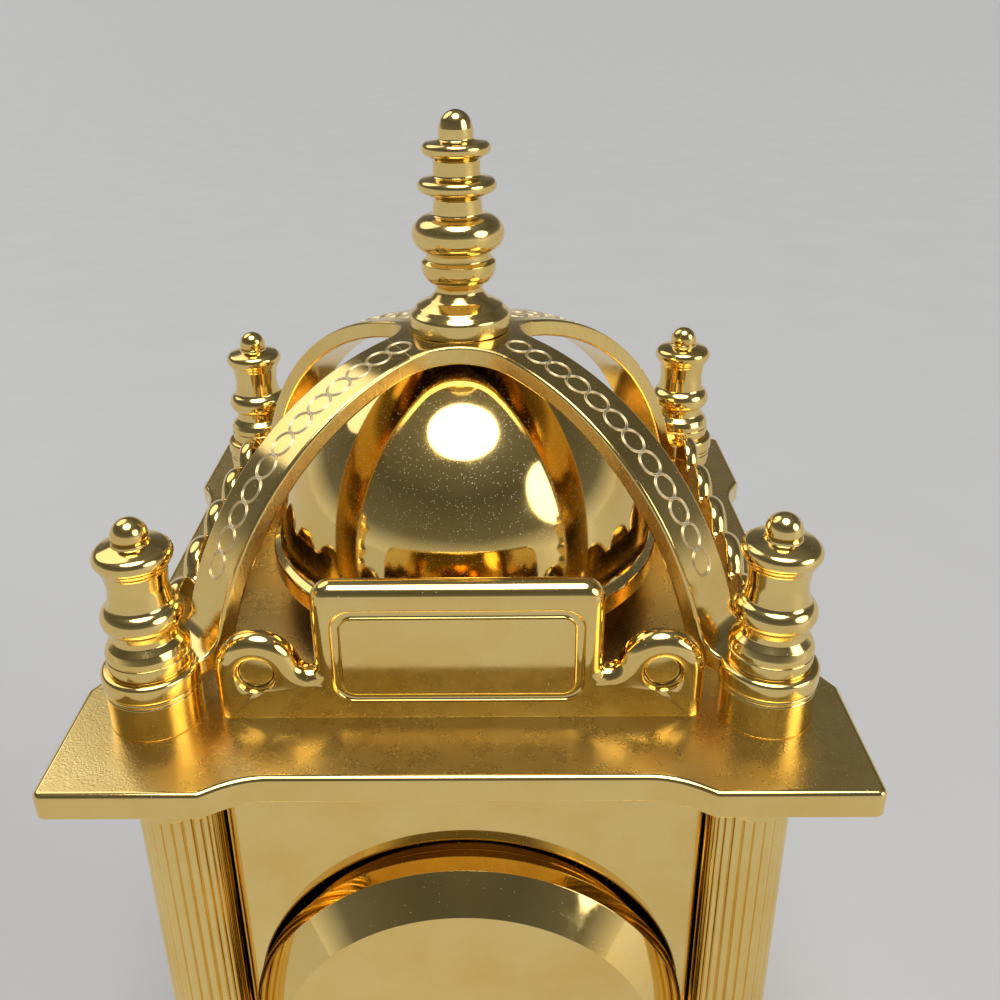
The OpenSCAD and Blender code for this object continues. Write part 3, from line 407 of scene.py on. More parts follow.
def seed_piece(name, points=(), edges=(), **vectors):
    """A piece that holds only the points and lines a tree starts from, in metres."""
    mesh = bpy.data.meshes.new(name)
    mesh.from_pydata([tuple(p) for p in points] or [(0, 0, 0)], list(edges), [])
    for key, values in vectors.items():
        layer = mesh.attributes.new(key, "FLOAT_VECTOR", "POINT")
        for item, value in zip(layer.data, values):
            item.vector = value
    piece = bpy.data.objects.new(name, mesh)
    bpy.context.scene.collection.objects.link(piece)
    return piece


def reed_tree():
    """Reeds of round section in a ring, on a plain core."""
    tree, given, result = new_tree("Reeded column", [
        ("Low", "NodeSocketFloat"), ("High", "NodeSocketFloat"), ("Core radius", "NodeSocketFloat"),
        ("Ring radius", "NodeSocketFloat"), ("Reed radius", "NodeSocketFloat"), ("Reeds", "NodeSocketInt"),
        ("Material", "NodeSocketMaterial")])
    low = node(tree, "ShaderNodeCombineXYZ", [("Z", given.outputs["Low"])])
    high = node(tree, "ShaderNodeCombineXYZ", [("Z", given.outputs["High"])])
    line = node(tree, "GeometryNodeCurvePrimitiveLine",
                [("Start", low.outputs[0]), ("End", high.outputs[0])])
    section = node(tree, "GeometryNodeCurvePrimitiveCircle",
                   [("Resolution", 20), ("Radius", given.outputs["Reed radius"])])
    reed = node(tree, "GeometryNodeCurveToMesh",
                [("Curve", line.outputs[0]), ("Profile Curve", section.outputs[0])])
    ring = node(tree, "GeometryNodeMeshCircle",
                [("Vertices", given.outputs["Reeds"]), ("Radius", given.outputs["Ring radius"])])
    copies = node(tree, "GeometryNodeInstanceOnPoints",
                  [("Points", ring.outputs[0]), ("Instance", reed.outputs[0])])
    round_core = node(tree, "GeometryNodeCurvePrimitiveCircle",
                      [("Resolution", 80), ("Radius", given.outputs["Core radius"])])
    core = node(tree, "GeometryNodeCurveToMesh",
                [("Curve", line.outputs[0]), ("Profile Curve", round_core.outputs[0])])
    whole = node(tree, "GeometryNodeJoinGeometry")
    tree.links.new(core.outputs[0], whole.inputs[0])
    tree.links.new(copies.outputs[0], whole.inputs[0])
    close_tree(tree, given, result, whole.outputs[0], "Material")
    return tree


def oval_tree():
    """Ovals of two fine lines, spaced evenly along lines that know their outward direction."""
    tree, given, result = new_tree("Chain of ovals", [
        ("Count", "NodeSocketInt"), ("Length", "NodeSocketFloat"), ("Width", "NodeSocketFloat"),
        ("Gap", "NodeSocketFloat"), ("Line", "NodeSocketFloat"), ("Material", "NodeSocketMaterial")])
    path = node(tree, "GeometryNodeMeshToCurve", [("Mesh", given.outputs["Geometry"])])
    spaced = node(tree, "GeometryNodeResampleCurve",
                  [("Curve", path.outputs[0]), ("Count", given.outputs["Count"])], mode="COUNT")
    points = node(tree, "GeometryNodeCurveToPoints", [("Curve", spaced.outputs[0])], mode="EVALUATED")
    outward = node(tree, "GeometryNodeInputNamedAttribute", [("Name", "outward")], data_type="FLOAT_VECTOR")
    along = node(tree, "GeometryNodeInputNamedAttribute", [("Name", "along")], data_type="FLOAT_VECTOR")
    turn = node(tree, "FunctionNodeAxesToRotation",
                [(0, outward.outputs[0]), (1, along.outputs[0])], primary_axis="Z", secondary_axis="X")
    section = node(tree, "GeometryNodeCurvePrimitiveCircle",
                   [("Resolution", 6), ("Radius", given.outputs["Line"])])
    whole = node(tree, "GeometryNodeJoinGeometry")
    for lines_in in (0.0, 2.0):
        spans = []
        for label in ("Length", "Width"):
            less = node(tree, "ShaderNodeMath", [(0, given.outputs["Gap"]), (1, lines_in)],
                        operation="MULTIPLY")
            span = node(tree, "ShaderNodeMath", [(0, given.outputs[label]), (1, less.outputs[0])],
                        operation="SUBTRACT")
            spans.append(node(tree, "ShaderNodeMath", [(0, span.outputs[0]), (1, 0.5)],
                              operation="MULTIPLY"))
        scale = node(tree, "ShaderNodeCombineXYZ",
                     [("X", spans[0].outputs[0]), ("Y", spans[1].outputs[0]), ("Z", 1.0)])
        circle = node(tree, "GeometryNodeCurvePrimitiveCircle", [("Resolution", 40), ("Radius", 1.0)])
        oval = node(tree, "GeometryNodeTransform",
                    [("Geometry", circle.outputs[0]), ("Scale", scale.outputs[0])])
        drawn = node(tree, "GeometryNodeCurveToMesh",
                     [("Curve", oval.outputs[0]), ("Profile Curve", section.outputs[0])])
        tree.links.new(drawn.outputs[0], whole.inputs[0])
    copies = node(tree, "GeometryNodeInstanceOnPoints",
                  [("Points", points.outputs[0]), ("Instance", whole.outputs[0]),
                   ("Rotation", turn.outputs[0])])
    close_tree(tree, given, result, copies.outputs[0], "Material")
    return tree


def minute_tree():
    """A minute track: two fine rings with short bars between them, longer at the hours."""
    tree, given, result = new_tree("Minute track", [
        ("Radius", "NodeSocketFloat"), ("Track", "NodeSocketFloat"), ("Bar", "NodeSocketFloat"),
        ("Ink", "NodeSocketFloat"), ("Material", "NodeSocketMaterial")])
    whole = node(tree, "GeometryNodeJoinGeometry")
    for count, wide in ((60, 1.0), (12, 3.0)):
        ring = node(tree, "GeometryNodeMeshCircle",
                    [("Vertices", count), ("Radius", given.outputs["Radius"])])
        place = node(tree, "GeometryNodeInputPosition")
        turn = node(tree, "FunctionNodeAlignRotationToVector", [("Vector", place.outputs[0])], axis="X")
        width = node(tree, "ShaderNodeMath", [(0, given.outputs["Bar"]), (1, wide)], operation="MULTIPLY")
        size = node(tree, "ShaderNodeCombineXYZ",
                    [("X", given.outputs["Track"]), ("Y", width.outputs[0]), ("Z", given.outputs["Ink"])])
        bar = node(tree, "GeometryNodeMeshCube", [("Size", size.outputs[0])])
        copies = node(tree, "GeometryNodeInstanceOnPoints",
                      [("Points", ring.outputs[0]), ("Instance", bar.outputs[0]),
                       ("Rotation", turn.outputs[0])])
        tree.links.new(copies.outputs[0], whole.inputs[0])
    for side in (-0.5, 0.5):
        reach = node(tree, "ShaderNodeMath", [(0, given.outputs["Track"]), (1, side)], operation="MULTIPLY")
        radius = node(tree, "ShaderNodeMath", [(0, given.outputs["Radius"]), (1, reach.outputs[0])],
                      operation="ADD")
        circle = node(tree, "GeometryNodeCurvePrimitiveCircle",
                      [("Resolution", 120), ("Radius", radius.outputs[0])])
        section = node(tree, "GeometryNodeCurvePrimitiveQuadrilateral",
                       [("Width", given.outputs["Bar"]), ("Height", given.outputs["Ink"])])
        drawn = node(tree, "GeometryNodeCurveToMesh",
                     [("Curve", circle.outputs[0]), ("Profile Curve", section.outputs[0])])
        tree.links.new(drawn.outputs[0], whole.inputs[0])
    close_tree(tree, given, result, whole.outputs[0], "Material")
    return tree


# Finishes

class Coat:
    """A material in the making: its node tree, its shader and the object's own coordinates."""

    def __init__(self, name):
        self.material = bpy.data.materials.new(name)
        self.material.use_nodes = True
        self.tree = self.material.node_tree
        self.shader = self.tree.nodes["Principled BSDF"]
        self.place = self.tree.nodes.new("ShaderNodeTexCoord").outputs["Object"]
        self.normal = None

    def set(self, **values):
        for key, value in values.items():
            self.shader.inputs[key.replace("_", " ")].default_value = value

    def stretched(self, scale):
        """The object's coordinates stretched along its axes."""
        return node(self.tree, "ShaderNodeMapping", [("Vector", self.place), ("Scale", scale)]).outputs[0]

    def noise(self, scale, detail=3.0, roughness=0.55, vector=None):
        return node(self.tree, "ShaderNodeTexNoise", [
            ("Vector", vector or self.place), ("Scale", scale), ("Detail", detail),
            ("Roughness", roughness)]).outputs["Fac"]

    def ranged(self, value, low, high, to_low, to_high):
        return node(self.tree, "ShaderNodeMapRange", [
            ("Value", value), ("From Min", low), ("From Max", high),
            ("To Min", to_low), ("To Max", to_high)]).outputs[0]

    def math(self, operation, a, b):
        return node(self.tree, "ShaderNodeMath", [(0, a), (1, b)], operation=operation).outputs[0]

    def mixed(self, factor, a, b):
        made = node(self.tree, "ShaderNodeMix", [(0, factor)], data_type="RGBA")
        for index, colour in ((6, a), (7, b)):
            if isinstance(colour, bpy.types.NodeSocket):
                self.tree.links.new(colour, made.inputs[index])
            else:
                made.inputs[index].default_value = (*colour, 1)
        return made.outputs[2]

    def put(self, name, socket):
        self.tree.links.new(socket, self.shader.inputs[name])

    def bump(self, height, distance, strength=1.0):
        """Adds a layer of relief, whose distance is in metres."""
        links = [("Height", height), ("Distance", distance), ("Strength", strength)]
        if self.normal:
            links.append(("Normal", self.normal))
        self.normal = node(self.tree, "ShaderNodeBump", links).outputs[0]
        self.put("Normal", self.normal)

    def specks(self, scale, size, share):
        """Fine scattered specks: 1 on a speck and 0 elsewhere."""
        cells = node(self.tree, "ShaderNodeTexVoronoi", [("Vector", self.place), ("Scale", scale)])
        near = self.math("LESS_THAN", cells.outputs["Distance"], size)
        chosen = self.math("LESS_THAN", node(self.tree, "ShaderNodeSeparateColor", [
            ("Color", cells.outputs["Color"])]).outputs[0], share)
        return self.math("MULTIPLY", near, chosen)


# Gilt finishes: base roughness, what is added to it, its spread, and (scale, height) or amounts of detail
GILT = {
    "mirror": ("polish", 0.0, 0.035, {"ripple": (55, 0.00004), "dust": 0.03}),
    "bell": ("polish", 0.03, 0.04, {"ripple": (70, 0.00004), "dust": 0.30}),
    "polished edge": ("polish", 0.03, 0.03, {"ripple": (160, 0.00001), "dust": 0.02}),
    "plate top": ("satin", 0.0, 0.025, {"grain": (5200, 0.00002), "ripple": (90, 0.00001), "dust": 0.05}),
    "turned": ("polish", 0.07, 0.05, {"turned": ("z", 0.000004), "grain": (6000, 0.000001), "dust": 0.03}),
    "reeding": ("polish", 0.10, 0.05, {"ripple": (240, 0.00001), "dust": 0.03}),
    "strap face": ("polish", 0.08, 0.05, {"grain": (9000, 0.0000015), "ripple": (140, 0.00002), "dust": 0.05}),
    "strap side": ("satin", 0.0, 0.06, {"turned": ("x", 0.000025), "grain": (4200, 0.000008), "dust": 0.03}),
    # The engraved lines' pale amount is a painted highlight: it moves their colour towards a pale tone so they
    # read bright on the strap.
    "engraved line": ("satin", 0.1, 0.08, {"grain": (9000, 0.000006), "pale": 0.8}),
    "fret face": ("polish", 0.06, 0.04, {"grain": (9000, 0.000001), "ripple": (60, 0.00003), "dust": 0.06}),
}


def gilt(finish):
    """Gold plating of one finish of the table above."""
    base, added, spread, details = GILT[finish]
    return plating("Gilt " + finish, getattr(finishes(), base) + added, spread, **details)


def plating(name, rough, spread, grain=None, ripple=None, turned=None, dust=0.0, pale=0.0):
    """Gold plating with smudges, and optional grain, ripples, tool lines, dust and a pale tone painted on as a
    highlight.
    """
    if name in bpy.data.materials:
        return bpy.data.materials[name]
    look = finishes()
    highlight_pale, specked = (0.95, 0.89, 0.70), (0.92, 0.85, 0.66)
    coat = Coat(name)
    coat.set(Metallic=1.0)
    colour = coat.mixed(coat.ranged(coat.noise(140, 4), 0.4, 0.75, 0, 0.8), look.gold, look.deep_gold)
    # Painted highlight: the colour moves towards a pale tone, mottled at random, standing in for light caught by
    # the lines.
    if pale:
        highlight_share = coat.ranged(coat.noise(900, 3), 0.3, 0.7, pale * 0.6, pale)
        colour = coat.mixed(highlight_share, colour, highlight_pale)
    roughness = coat.ranged(coat.noise(420, 5, 0.65), 0.3, 0.75, max(0.01, rough - spread), rough + spread)
    if dust:
        mask = coat.specks(5600, 0.2, dust)
        haze = coat.specks(2600, 0.12, dust * 0.6)
        both = coat.math("MAXIMUM", mask, haze)
        colour = coat.mixed(coat.math("MULTIPLY", both, 0.6), colour, specked)
        roughness = coat.math("MAXIMUM", roughness, coat.math("MULTIPLY", both, 0.55))
    coat.put("Base Color", colour)
    coat.put("Roughness", roughness)
    if ripple:
        coat.bump(coat.noise(ripple[0], 2), ripple[1])
    if turned:
        axis, depth = turned
        lines = coat.noise(1.0, 4, 0.7, coat.stretched(tuple(5200 if a == axis else 18 for a in "xyz")))
        coat.bump(lines, depth)
    if grain:
        coat.bump(coat.noise(grain[0], 2, 0.6), grain[1])
    return coat.material


def plain_coat(name, colour, second, rough, spread, grain, metallic=0.0, stretch=None, variation=300.0):
    """A surface of two close colours with its own grain."""
    if name in bpy.data.materials:
        return bpy.data.materials[name]
    coat = Coat(name)
    coat.set(Metallic=metallic)
    vector = coat.stretched(stretch) if stretch else None
    coat.put("Base Color", coat.mixed(coat.ranged(coat.noise(variation, 4), 0.3, 0.7, 0, 1), colour, second))
    coat.put("Roughness", coat.ranged(coat.noise(variation * 2, 4), 0.3, 0.7, rough - spread, rough + spread))
    coat.bump(coat.noise(1.0 if stretch else grain[0], 3, 0.6, vector), grain[1])
    return coat.material


def shade(colour, factor):
    return tuple(min(1, c * factor) for c in colour)


def steel_coat():
    return plain_coat("Bright steel", (0.60, 0.60, 0.61), (0.50, 0.50, 0.52), 0.26, 0.08, (1, 0.00001), 1.0,
                      stretch=(400, 5000, 400))


def brass_coat():
    brass = finishes().brass
    return plain_coat("Plain brass", brass, shade(brass, 0.82), 0.3, 0.08, (2600, 0.00001), 1.0)


def plastic_coat():
    plastic = finishes().plastic
    return plain_coat("Moulded case", plastic, shade(plastic, 0.93), 0.48, 0.08, (3600, 0.00002))


def knob_coat():
    return plain_coat("Moulded knob", (0.035, 0.035, 0.037), (0.05, 0.05, 0.052), 0.45, 0.08, (3600, 0.00002))


def magnet_coat():
    return plain_coat("Sintered magnet", (0.09, 0.09, 0.095), (0.13, 0.13, 0.135), 0.55, 0.1,
                      (4200, 0.00003), 0.7)


def copper_coat():
    return plain_coat("Copper winding", (0.62, 0.24, 0.09), (0.45, 0.15, 0.05), 0.3, 0.06, (1, 0.00006), 0.9,
                      stretch=(40, 40, 8000))


def board_coat():
    return plain_coat("Circuit board", (0.02, 0.13, 0.05), (0.03, 0.20, 0.08), 0.34, 0.08, (1500, 0.00001),
                      variation=700.0)


def dial_coat():
    cream = finishes().cream
    return plain_coat("Dial paint", cream, shade(cream, 0.94), 0.42, 0.06, (2600, 0.000006), variation=90.0)


def black_coat():
    black = finishes().black
    return plain_coat("Black paint", black, shade(black, 1.8), 0.33, 0.06, (3000, 0.000006))


def glass_coat():
    """Clear glass with a few faint specks of dust."""
    if "Clear glass" in bpy.data.materials:
        return bpy.data.materials["Clear glass"]
    coat = Coat("Clear glass")
    coat.set(IOR=1.5, Transmission_Weight=1.0, Alpha=0.15)
    mask = coat.specks(700, 0.10, 0.12)
    coat.put("Base Color", coat.mixed(mask, (0.97, 0.99, 0.98), (0.80, 0.80, 0.78)))
    coat.put("Roughness", coat.ranged(coat.noise(260, 4), 0.35, 0.8, 0.01, 0.05))
    return coat.material


# Operators

class CLOCK_OT_plates(bpy.types.Operator):
    """Makes the eared top and base plates with satin faces and polished rounded edges"""

    bl_idname = "clock.plates"
    bl_label = "Plates"

    def edge(self, width, depth, ear=13.0, step=1.8, sweep=5.2, corner=0.8):
        """One edge from its right-hand corner to its left: ear, S-curve, stepped edge, S-curve, ear."""
        x, y = width / 2, depth / 2
        fall = [(k / 16, step * (1 - math.cos(math.pi * (k / 16) ** 0.6)) / 2) for k in range(17)]
        line = arc(x - corner, y - corner, corner, 0, 90, 6)
        line += [(x - ear - sweep * t, y - drop) for t, drop in fall]
        return line + [(-x + ear + sweep * t, y - drop) for t, drop in reversed(fall)]

    def execute(self, context):
        lower_edge = 0.15
        for plate in ("top_plate", "base_plate"):
            low, high = node_box(plate)
            width, depth = high.x - low.x, high.y - low.y
            outline = []
            for quarter in range(4):
                size = (width, depth) if quarter % 2 == 0 else (depth, width)
                turn = Matrix.Rotation(math.pi / 2 * quarter, 2)
                outline += [tuple(turn @ Vector(p)) for p in self.edge(*size)]
            bm = bmesh.new()
            under, top = slab_rims(bm, outline, low.z, high.z, lower_edge, sizes().plate_edge / MM, finish=1)
            cap(bm, [under], 0)
            cap(bm, [top], 0)
            coats = [gilt("plate top"), gilt("polished edge")]
            attach(new_piece(plate.replace("plate", "plate_gilt"), bm, coats), "gilt_plate", plate)
        return {"FINISHED"}


class CLOCK_OT_columns(bpy.types.Operator):
    """Makes the four reeded columns with a rounded band at each end"""

    bl_idname = "clock.columns"
    bl_label = "Reeded columns"

    def execute(self, context):
        tree = reed_tree()
        low, high = node_box("column_front_left")
        radius, rise, reeds = (high.x - low.x) / 2, sizes().reed_rise / MM, sizes().reeds
        lap, shy, overlap, band_h = 0.6, 0.06, 1.15, 7.2
        reed = overlap * math.pi * (radius - rise) / reeds
        for corner in CORNERS:
            name = f"reeded_column_{corner}"
            axis = post_axis(corner)
            shaft = seed_piece(name)
            grow(shaft, tree, {
                "Low": (low.z + lap) * MM, "High": (high.z - lap) * MM, "Core radius": (radius - rise) * MM,
                "Ring radius": (radius - shy - reed) * MM, "Reed radius": reed * MM, "Reeds": reeds,
                "Material": gilt("reeding")})
            bm = bmesh.new()
            bm.from_mesh(shaft.data)
            bm.transform(Matrix.Scale(1 / MM, 4))
            for z0, z1 in ((low.z, low.z + band_h), (high.z - band_h, high.z)):
                band = lathe(eased([(0, z0, 0), (radius, z0, 0.18), (radius, z1, 0.18), (0, z1, 0)]))
                add_part(bm, band)
            bm.transform(Matrix.Translation(axis))
            bpy.data.objects.remove(shaft)
            attach(new_piece(name, bm, [gilt("reeding")]), "gilt_column", f"column_{corner}")
        return {"FINISHED"}


class CLOCK_OT_feet(bpy.types.Operator):
    """Makes the four turned ball feet"""

    bl_idname = "clock.feet"
    bl_label = "Feet"

    def execute(self, context):
        base = node_box("base_plate")[0].z
        neck, ball_r = 1.6, 4.8
        ball = arc(0, (base - neck) / 2, ball_r, -48, 47, 20)
        profile = [(0, 0, 0), (3.0, 0, 0.3), (3.05, 0.12, 0)] + unfilleted(ball)
        profile += [(3.2, base - 1.55, 0.05), (3.95, base - 1.5, 0.3), (3.95, base, 0.2), (0, base, 0)]
        at_corners("foot", "turned_foot", lathe(eased(profile)), [gilt("turned")], "gilt_turned")
        return {"FINISHED"}


class CLOCK_OT_collars(bpy.types.Operator):
    """Makes the four plain collars on the top plate"""

    bl_idname = "clock.collars"
    bl_label = "Collars"

    def execute(self, context):
        low, high = node_box("collar_front_left")
        r = (high.x - low.x) / 2
        profile = [(0, low.z, 0), (r, low.z, 0.12), (r, high.z - 0.55, 0.1), (r - 0.12, high.z - 0.45, 0.05),
                   (r, high.z - 0.35, 0.1), (r, high.z, 0.2), (0, high.z, 0)]
        at_corners("collar", "plain_collar", lathe(eased(profile)), [gilt("turned")], "gilt_turned")
        return {"FINISHED"}


class CLOCK_OT_corner_finials(bpy.types.Operator):
    """Makes the four turned corner finials with their ball knobs"""

    bl_idname = "clock.corner_finials"
    bl_label = "Corner finials"

    def execute(self, context):
        z = node_box("bell_strap")[0].z + STRAP_T
        steps = [(0, 0, 0), (3.48, 0, 0.12), (3.48, 1.15, 0.15), (3.36, 1.22, 0.04), (3.46, 1.3, 0.1),
                 (3.46, 1.75, 0.3), (3.2, 2.3, 0.4), (2.68, 2.8, 0.2), (2.68, 3.3, 0.15)]
        steps += unfilleted(arc(2.12, 4.8, 1.25, -58, 62, 16))
        steps += [(2.58, 6.15, 0.4), (2.42, 7.5, 3.0), (2.62, 9.1, 0.8), (2.85, 9.42, 0.15)]
        steps += unfilleted(arc(2.4, 10.25, 0.8, -52, 76, 14))
        steps += [(1.85, 11.22, 0.3), (1.52, 11.3, 0.06), (1.5, 11.5, 0.06)]
        profile = [(r, z + h, f) for r, h, f in steps]
        profile += unfilleted(arc(0, z + 12.0, 1.48, -16, 90, 14))
        at_corners("finial", "corner_finial", lathe(eased(profile)), [gilt("turned")], "gilt_turned")
        return {"FINISHED"}


class CLOCK_OT_top_finial(bpy.types.Operator):
    """Makes the tall turned finial on the strap's hub"""

    bl_idname = "clock.top_finial"
    bl_label = "Top finial"

    def execute(self, context):
        low, high = node_box("top_finial")
        steps = [(0, 0, 0), (4.8, 0, 0.1), (4.8, 1.5, 0.5), (4.35, 1.95, 0.3), (4.05, 2.3, 0.3),
                 (2.85, 2.9, 0.9), (2.17, 3.7, 0.6), (2.2, 4.1, 0.1)]
        steps += unfilleted(arc(1.72, 6.0, 1.76, -62, 0, 12))
        steps += [(3.48, 6.45, 0.12), (3.05, 6.75, 0.2), (2.95, 7.35, 0.15)]
        steps += unfilleted(arc(2.63, 9.05, 1.65, -72, 75, 22)) + [(2.3, 10.75, 0.3), (2.2, 12.3, 0.5)]
        steps += unfilleted(arc(3.0, 13.4, 0.63, -88, 88, 14)) + [(2.15, 14.2, 0.3), (2.13, 15.6, 0.4)]
        steps += unfilleted(arc(2.53, 16.62, 0.6, -88, 88, 14)) + [(1.6, 17.35, 0.2), (1.56, 18.35, 0.3)]
        steps += [(1.5 * math.cos(a), 18.4 + 1.55 * math.sin(a), 0) for a in (0.35, 0.6, 0.85, 1.1, 1.3, 1.45)]
        profile = [(r, low.z + h, f) for r, h, f in steps] + [(0, min(high.z, low.z + 19.97), 0)]
        piece = new_piece("turned_top_finial", lathe(eased(profile)), [gilt("turned")])
        attach(piece, "gilt_turned", "top_finial")
        return {"FINISHED"}


class CLOCK_OT_bell(bpy.types.Operator):
    """Makes the thin polished bell with its flared lip"""

    bl_idname = "clock.bell"
    bl_label = "Bell"

    def execute(self, context):
        low, high = node_box("bell")
        dome, wall, lip = 18.5, 0.8, (high.x - low.x) / 2
        centre = high.z - dome
        outer = unfilleted(arc(0, centre, dome, 90, 0, 40))
        outer[0] = (0, high.z, 0)
        inner = unfilleted(arc(0, centre, dome - wall, 0, 90, 40))
        inner[-1] = (0, high.z - wall, 0)
        flare = [(dome + 0.3, centre - 0.55, 0.5), (lip - 0.1, low.z + 2.0, 0.25), (lip, low.z + 1.8, 0.1),
                 (lip, low.z, 0.3), (lip - wall, low.z, 0.25), (lip - wall, low.z + 1.7, 0.3),
                 (dome - wall + 0.2, centre - 0.5, 0.3)]
        piece = new_piece("polished_bell", lathe(eased(outer + flare + inner), steps=128), [gilt("bell")])
        attach(piece, "gilt_mirror", "bell")
        return {"FINISHED"}


class CLOCK_OT_bell_strap(bpy.types.Operator):
    """Makes the crossed straps over the bell, with eyes, a hub and a chain of ovals on each arm"""

    bl_idname = "clock.bell_strap"
    bl_label = "Bell strap"

    def execute(self, context):
        low, high = node_box("bell_strap")
        reach = post_axis("rear_right").length
        offset, radius, thick, width = 3.08, 27.58, 1.68, 5.5
        shy, eye_r = 0.02, 4.1
        middle = high.z - shy - radius
        eye_low, eye_top = low.z + shy, low.z + thick
        fillet = 2.2
        rise = math.degrees(math.asin((eye_top + fillet - middle) / (radius + fillet)))
        heel = offset + (radius + fillet) * math.cos(math.radians(rise))
        outer = [(0, high.z - shy)] + arc(offset, middle, radius, 90, rise, 72)
        outer += arc(heel, eye_top + fillet, fillet, 180 + rise, 270, 8)[1:] + [(reach, eye_top)]
        fall = math.degrees(math.asin((eye_low - middle) / (radius - thick)))
        inner = [(reach, eye_low)] + arc(offset, middle, radius - thick, fall, 90, 72) + [(0, high.z - STRAP_T)]
        outline = list(reversed(outer + inner))
        bm = bmesh.new()
        edge = sizes().strap_edge / MM
        for corner in CORNERS:
            axis = post_axis(corner)
            arm = bmesh.new()
            sides = slab_rims(arm, outline, -width / 2, width / 2, edge, edge, finish=0)
            for side in sides:
                cap(arm, [side], 1)
            turn = math.atan2(axis.y, axis.x)
            arm.transform(Matrix.Rotation(turn, 4, "Z") @ Matrix.Rotation(math.pi / 2, 4, "X"))
            add_part(bm, arm)
            top = low.z + STRAP_T
            eye = lathe(eased([(0, low.z, 0), (eye_r, low.z, 0.3), (eye_r, top, 0.45), (0, top, 0)]))
            eye.transform(Matrix.Translation(axis))
            add_part(bm, eye)
        add_part(bm, self.hub(width / 2, offset, radius, high.z - STRAP_T, high.z))
        coats = [gilt("strap face"), gilt("strap side")]
        attach(new_piece("bell_straps", bm, coats), "gilt_satin", "bell_strap")
        self.ovals(offset, middle, radius)
        return {"FINISHED"}

    def hub(self, half, offset, radius, low, high, reach=5.9):
        """The web that joins the four arms, with a hollow curve between each two neighbours."""
        arms = sorted(math.atan2(post_axis(c).y, post_axis(c).x) % (2 * math.pi) for c in CORNERS)
        outline = []
        for first, second in zip(arms, arms[1:] + [arms[0] + 2 * math.pi]):
            gap, middle = (second - first) / 2, math.degrees((first + second) / 2)
            slant = math.sin(gap)
            hollow = (reach - half / slant) / (1 / slant - 1)
            away = (half + hollow) / slant
            cx, cy = away * math.cos(math.radians(middle)), away * math.sin(math.radians(middle))
            opened = math.degrees(gap)
            outline += arc(cx, cy, hollow, middle + 270 - opened, middle + 90 + opened, 18)
        bm = bmesh.new()
        under, top = slab_rims(bm, outline, low, high, 0.2, 0.3, finish=1)
        for rim, finish in ((under, 1), (top, 0)):
            shrunk = [[(v.co.x * k, v.co.y * k, v.co.z) for v in rim] for k in (1, 0.85, 0.7, 0.55, 0.4)]
            rings = loft(bm, shrunk, finish)
            cap(bm, [rings[-1]], finish)
        for v in bm.verts:
            along = max(v.co.x * math.cos(a) + v.co.y * math.sin(a) for a in arms)
            v.co.z -= radius - math.sqrt(radius ** 2 - max(0.0, along - offset) ** 2)
        return bm

    def ovals(self, offset, middle, radius):
        """Draws the chains of ovals along the outer faces of the arms."""
        points, edges, outward, along = [], [], [], []
        first_turn, last_turn, steps = 81.1, 27.0, 48
        for corner in CORNERS:
            axis = post_axis(corner)
            turn = math.atan2(axis.y, axis.x)
            first = len(points)
            for k in range(steps + 1):
                a = math.radians(first_turn + (last_turn - first_turn) * k / steps)
                r = offset + radius * math.cos(a)
                z = middle + radius * math.sin(a)
                points.append(Vector((r * math.cos(turn), r * math.sin(turn), z)) * MM)
                outward.append((math.cos(a) * math.cos(turn), math.cos(a) * math.sin(turn), math.sin(a)))
                along.append((math.sin(a) * math.cos(turn), math.sin(a) * math.sin(turn), -math.cos(a)))
            edges += [(first + k, first + k + 1) for k in range(steps)]
        piece = seed_piece("strap_ovals", points, edges, outward=outward, along=along)
        size, gap = sizes(), 0.00016
        grow(piece, oval_tree(), {
            "Count": size.ovals, "Length": size.oval_length, "Width": size.oval_width, "Gap": gap,
            "Line": size.oval_line, "Material": gilt("engraved line")})
        attach(piece, "gilt_satin")


